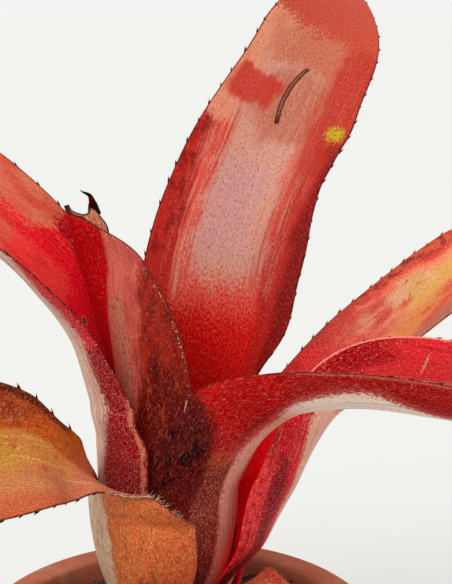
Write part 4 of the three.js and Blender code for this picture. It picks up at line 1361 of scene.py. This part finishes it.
# the inner face at full red: a painted glow, brighter than its own colour, standing in for light shining
# through it in the shade between the leaves
lay((255, 0, 14), inner)
lay((236, 110, 84), 0.6, inner, band(along, 44, 70, 6), streaks(1.2, 0.4, 0.6))
clear = add(keel_bloom, inner)
grain((246, 80, 78), (130, 0, 8), amount=fade(clear, 0, 0.8, 0.32, 0.1))
ribs(0.07, 0.05, 0.03)
dust((250, 160, 148), fade(inner, 0, 1, 0.6, 0.0), 0.27)
done(piece, "leaf_right", 0.38, (150, 60, 56), (214, 132, 116))


# ---- Left leaf ----
# The wide leaf that rises on the left and bends over to the side. Its inner face is crimson
# at the neck, and its back is scurfy and silvered along the keel.

leaf = Leaf(
    azimuth=172, level=5, root=3, neck=40,
    sheath=[[55, 55], [77, 62], [80, 50]],
    blade=[
        [-17.5, 3, 48.3, 0, 21.5, 15, 95, 44],
        [-20.5, 4, 60.2, 5, 19.5, 17, 70, 52],
        [-27.6, 5, 72.3, 15, 18.5, 15.8, 63, 58],
        [-39, 6, 83.5, 22, 14, 16.2, 60, 62],
        [-56, 8, 92, 22, 13, 18.6, 45, 55],
        [-76, 10, 93, 12, 13, 13.8, 40, 40],
        [-93, 12, 84, 5, 9, 9, 20, 20],
    ],
    tip=34,
)
piece = leaf_piece("left_leaf", leaf, spines=0.45, spine_from=26, ripple_seed=36)
new_leaf_finish("crimson_leaf", (250, 4, 36), 1.2)
# the inner face, from crimson at the neck to salmon and tan where it bends over
near_side = band(less(across, times(along, 0.17)), 3.6, 6, 0.6)
fleck((160, 0, 14), 0.8, near_side)
fleck((250, 62, 58), 0.85, zone((30, None), (None, 6), 3.5, 2))
fleck((222, 64, 54), 0.8, band(along, 42, 54, 4))
fleck((222, 136, 96), 0.85, zone((44, None), (9, None), 3, 2))
fleck((218, 116, 84), 0.8, zone((48, None), (None, 5), 4, 2))
fleck((206, 16, 28), 0.6, band(along, 30, 42), stains(3, 0.5, 3, 0.3, 3))
lay((240, 140, 114), 0.4, band(along, 26, 40), streaks(1.2, 0.5, 0.8, 8))
# the outer face: dense scurf on dark crimson, silvered along the keel
lay((140, 2, 12), outer)
fleck((204, 10, 34), 1, outer, zone((20, None), (None, -15), 3, 1))
lay((112, 8, 8), 0.6, outer, band(along, 4, -4))
silver_line = band(add(across, fade(along, -6, 12, -4, 0.6)), -17.4, -11.8, 0.9, 5)
silver = frayed(outer, silver_line)
lay((228, 200, 180), silver)
lay((176, 84, 70), 0.6, silver, frayed(streaks(0.7, 0.42, 0.66, 5)))
lay((50, 28, 22), 0.7, outer, band(across, -18, -14), fade(flecks, 0.36, 0.3))
fleshy_edge = times(outer, band(along, 14, 6), between(edge, 0.3, 1.5, 0.4))
fleck((206, 126, 96), 0.7, fleshy_edge, stains(1.6, 0.62))
for x, y in ((24.2, 3.5), (25, -20)):
    lay((230, 150, 130), 0.6, spot(x, y, 2.2, 2.0, ragged=0.3))
    lay((50, 20, 14), 0.9, spot(x, y, 1.5, 1.3, ragged=0.4))
lay((92, 14, 14), 0.85, rim(0.24))
grain((250, 76, 80), (140, 0, 14), amount=fade(inner, 0, 1, 0.4, 0.28))
ribs(0.08, 0.05, 0.04)
dust((240, 172, 160), fade(inner, 0, 1, 0.75, 0.4), fade(inner, 0, 1, 0.32, 0.1), 0.26)
done(piece, "leaf_left", 0.4)


# ---- Back right leaf ----
# A long leaf that arches out from the back of the rosette. The sun has bleached its blade to
# peach and gold, with red stains left on it.

leaf = Leaf(
    azimuth=42, level=6, root=2, neck=9,
    sheath=[[50, 50], [56, 42], [54, 28]],
    blade=[
        [17.3, 15.6, 17.9, 0, 13, 4.6, 40, 8],
        [22.5, 21.5, 29.1, 1.5, 11.8, 6.5, 40, 12],
        [31.5, 31.5, 39.6, 8, 12.1, 8.2, 35, 34],
        [48, 44.5, 51.4, -4.5, 13.3, 15.1, 28.5, 21],
        [68, 54, 63.7, -2, 16.3, 20.6, 25, 23],
        [89, 66, 70.5, -2.5, 16.4, 15.5, 23.5, 26],
        [107, 78, 61, 0.5, 9.1, 8.9, 15, 16],
    ],
    tip=36,
)
piece = leaf_piece("back_right_leaf", leaf, spines=0.55, spine_from=30, ripple_seed=37)
# full red flesh and a lower studio light: this leaf is painted lighter than its own colour to make up for
# the shade it hangs in
new_leaf_finish("peach_and_gold_leaf", (255, 30, 56), 1.08)
fleck((226, 0, 24), 0.5, zone((None, 50), (None, None), 3))
fleck((255, 104, 86), 1, band(along, 50, 68, 4))
fleck((236, 150, 116), 1, zone((64, None), (-10, 5), 4, 2.4))
lay((216, 164, 78), 0.92, zone((78, None), (-9, 4), 4, 3))
lay((206, 126, 58), 0.9, zone((68, None), (3, None), 4, 2.4))
fleck((232, 184, 154), 0.5, zone((66, 92), (-10, -3), 4, 2), stains(4, 0.6, 1.6, 0.2, 2))
fleck((214, 44, 50), 0.7, zone((54, 76), (-16, 4), 4, 3), stains(3, 0.6, 2, 0.2, 3))
fleck((204, 84, 52), 0.85, band(across, -10.5, -14, 1.4))
fleck((186, 40, 34), 0.7, band(across, -10, -13, 1.4), stains(2.6, 0.5, 2.2, 0.2, 6))
fleck((110, 12, 18), 0.75, zone((60, 104), (None, -12.6), 1, 1), stains(2, 0.42, 1.8, 0.1, 5))
blotches = (
    (90, 4, 9, 5), (83, 10, 9, 3.4), (72.5, -3, 7, 3.4), (79, -2, 5, 2.4), (98, -12, 8, 3), (77, 12, 8, 3),
    (87, 8, 8, 2), (94, 1, 7, 2), (68, 2, 5, 3), (75, -8, 5, 2.4), (80, 7, 4, 1.6),
)
for x, y, length, width in blotches:
    fleck((206, 50, 44), 0.75, spot(x, y, length, width, 0.2, 0.5, 0.8))
fleck((150, 76, 80), 0.7, zone((66, 90), (13, None), 3, 1.6))
lay((206, 150, 110), 0.6, zone((62, None), (14, None), 2), rim(0.6))
for x, y, turn in ((84.5, -9, 0.5), (86.5, -6, -0.5), (82, -4, 0.9)):
    lay((104, 40, 22), 0.85, spot(x, y, 1.8, 0.4, turn, 0.1))
lay((200, 110, 84), 0.5, outer)
lay((140, 40, 34), 0.8, rim(0.2))
lay((255, 0, 22), inner, band(along, 34, 30))
grain((244, 190, 150), (196, 66, 50), amount=fade(along, 28, 36, 0.04, 0.26))
ribs(0.07, 0.05, 0.03)
dust((250, 214, 180), times(band(along, 90, 50), band(along, 30, 36)), 0.16)
done(piece, "leaf_back_right", 0.44, (70, 30, 34), (176, 54, 44))


# ---- Outer left leaf ----
# An old leaf folded and pinched at its neck, gone orange and yellow. It has the longest
# spines, and silky hairs fringe its near margin beside the tank.

leaf = Leaf(
    azimuth=214, level=7, root=1, neck=27,
    sheath=[[50, 50], [70, 48], [70, 45]],
    blade=[
        [-17, -12, 33.8, 20, 17, 6.6, 44, 40],
        [-19.5, -15.5, 38.2, 30, 11, 7, 20, 67],
        [-23, -20.5, 43.5, 48, 12.5, 7, 10, 30],
        [-28.5, -27.5, 48, 41, 16, 10, 5, 73],
        [-41, -41, 51, 39.5, 17.5, 15, 5, 73],
        [-56, -56, 49, 18, 15, 13.7, 15, 15],
        [-70, -68, 39, 0, 9, 9, 10, 10],
    ],
    tip=34, settle=9,
)

# the silky hairs, drawn out from the margin at random
HAIR_COUNT = 70
HAIR_SEED = 77
HAIR_RADII = (0.045, 0.045, 0.03, 0.008)

chance = np.random.default_rng(HAIR_SEED)
fringe = []
for _ in range(HAIR_COUNT):
    t = chance.uniform(2, 14)
    foot, inside = leaf.points(np.full(2, t), np.array([-1, -0.9]))
    lean = (foot - inside) / np.linalg.norm(foot - inside) + (0, 0, 0.5) + chance.normal(0, 0.45, 3)
    hair = np.stack([foot - 0.2 * lean, foot, foot + chance.uniform(0.3, 0.55) * lean])
    hair = np.concatenate([hair, hair[-1:] + chance.uniform(0.3, 0.6) * (lean + chance.normal(0, 0.5, 3))])
    vertices, faces = tube(hair, HAIR_RADII, sides=5)
    fringe.append((vertices, faces, np.full(len(vertices), -1.0), t, -1))

piece = leaf_piece(
    "outer_left_leaf", leaf, spines=0.85, spine_from=14, left_share=0.55, ripple_seed=38, extras=fringe
)
new_leaf_finish("orange_and_ochre_leaf", (220, 146, 56))
fleck((218, 134, 84), 0.9, band(across, -4, -8, 1.5))
lay((214, 92, 62), 0.8, band(across, -10, -15, 0.8))
lay((198, 138, 36), 0.6, zone((34, None), (-7, 3), 5, 2))
fleck((206, 92, 40), 0.5, zone((16, 44), (-2, 3), 4, 2), stains(3, 0.5, 2, 0.3, 14))
fleck((232, 130, 98), 0.8, band(along, 26, 14, 2), band(across, 3, -1, 1))
lay((214, 80, 70), 0.6, zone((None, 34), (None, 1), 3, 2), stains(2.6, 0.4, 1.8, 0.2, 2))
fleck((244, 196, 130), 0.5, zone((6, 40), (-10, 2), 4, 2), streaks(1.4, 0.46, 0.7, 21))
# the far half stands up, orange and cross-hatched with dark hairlines
past_fold = less(across, fade(along, 12, 34, -3.4, 1.8))
far_half = band(past_fold, -0.4, 1.2, 0.5)
lay((212, 82, 20), far_half)
fleck((226, 122, 40), 0.6, far_half, streaks(1.6, 0.4, 0.66, 15))
crossing = noise(stretched(place, (2.6, 0.42, 0), (3, 1, 0)), 1, 3, 0.6)
lay((96, 30, 12), 0.8, far_half, fade(crossing, 0.54, 0.66), band(along, 44, 30))
lay((255, 120, 56), 0.8, zone((None, 12), (0, None), 3, 1))
fleck((146, 34, 30), 0.8, far_half, band(along, 22, 38, 3), stains(2.4, 0.62, 1.8, 0.2, 7))
squiggles = noise(stretched(place, (0.55, 0.8, 0), (9, 4, 0)), 1, 1, 0.5, 1.2)
squiggles = fade(calc("ABSOLUTE", less(squiggles, 0.5)), 0.035, 0.015)
lay((250, 150, 90), 0.85, squiggles, zone((30, 46), (2, 12), 2, 1), stains(2.4, 0.5, 1, 0.06, 12))
fleck((92, 18, 20), 0.85, zone((18, None), (3, None), 4, 1.5), fade(edge, 2.6, 0.6))
for x, y, size in ((36, -2, 1.6), (30, -7, 1.5), (27, -9, 1.2), (40, 1, 1.3), (24, -3, 1.0)):
    lay((200, 60, 50), 0.7, spot(x, y, size, size, ragged=0.4, blur=0.6))
fleck((190, 100, 96), 0.35, zone((8, 38), (-13, -6), 3, 2), stains(2.6, 0.45, 2, 0.2, 4))
# the outer face: orange-brown under curled pale scurf, bleached along the keel
lay((246, 116, 56), outer)
fleck((240, 214, 184), 0.9, outer, zone((None, 18), (-3, 9), 1.5, 1.2))
curls = noise(stretched(place, (1.5, 1.5, 0)), 1, 1, 0.5, 1.6)
curls = fade(calc("ABSOLUTE", less(curls, 0.5)), 0.05, 0.02)
lay((250, 210, 140), 0.75, outer, curls, fade(flecks, 0.44, 0.54))
relief(times(outer, curls), 0.05)
fleck((150, 52, 26), 0.4, outer, stains(1.4, 0.4, 1.8, 0.1, 8))
lay((226, 110, 84), 0.6, outer, rim(1.4))
lay((112, 36, 20), 0.85, rim(0.28))
lay((244, 214, 190), fade(spine, -0.5, -0.9))
grain((244, 184, 104), (140, 52, 18), amount=0.32)
ribs(0.11, 0.06, 0.04)
dust((246, 206, 150), fade(inner, 0, 1, 0.5, 0.15), 0.16, 0.5)
done(piece, "leaf_outer_left", 0.46, (30, 18, 16), (130, 50, 30))


# ---- Outer back and outer front leaves ----
# Two of the oldest, lowest leaves, which close the rosette behind and before the tank. Their
# sheaths are the outermost ones on the caudex.

outer_back = Leaf(
    azimuth=100, level=8, root=0, neck=7,
    sheath=[[45, 42], [48, 40], [44, 34]],
    blade=[
        [-4, 22, 17, 0, 13, 10, 34, 22],
        [-5, 32, 29, 0, 13, 14, 35, 30],
        [-6, 44, 39, 0, 14, 15, 30, 30],
        [-7, 59, 45, 0, 14, 14, 25, 25],
        [-9, 76, 46, 0, 13, 13, 20, 20],
        [-11, 92, 39, 0, 9, 9, 15, 15],
    ],
    tip=32,
)
outer_front = Leaf(
    azimuth=288, level=8, root=0, neck=6,
    sheath=[[45, 45], [48, 48], [46, 46]],
    blade=[
        [6.5, -20, 11, 0, 15, 15, 40, 40],
        [9, -29, 15, 0, 14, 14, 35, 35],
        [13, -42, 15, 0, 14, 14, 30, 30],
        [17, -56, 9, 0, 13, 13, 25, 25],
        [21, -69, -2, 0, 9, 9, 15, 15],
    ],
    tip=30,
)
for name, leaf, first, seed in (("outer_back", outer_back, 24, 39), ("outer_front", outer_front, 20, 40)):
    piece = leaf_piece(name + "_leaf", leaf, spines=0.8, spine_from=first, ripple=0.15, ripple_seed=seed)
    new_leaf_finish(name + "_orange_leaf", (194, 64, 44))
    lay((208, 138, 80), band(along, 24, 52, 8))
    lay((196, 150, 74), 0.7, band(along, 44, 64, 6), stains(6, 0.5, 2, 0.1, seed))
    lay((190, 60, 50), 0.6, stains(2.6, 0.32, 1.8, 0.07, seed + 2))
    lay((116, 44, 34), 0.7, rim(3), stains(1.6, 0.36, 1.5, 0.05, seed + 4))
    lay((182, 96, 66), 0.6, outer)
    lay((150, 96, 60), 0.4, streaks(0.8, 0.5, 0.66, seed))
    lay((104, 66, 44), 0.7, band(along, 6, -4, 1.5))
    lay((110, 40, 30), 0.9, rim(0.35))
    ribs(0.11, 0.06, 0.03)
    grain((226, 160, 110), (120, 50, 30), 0.3)
    dust((238, 208, 176), 0.45, 0.2, 0.5)
    done(piece, "leaf_" + name, 0.46)
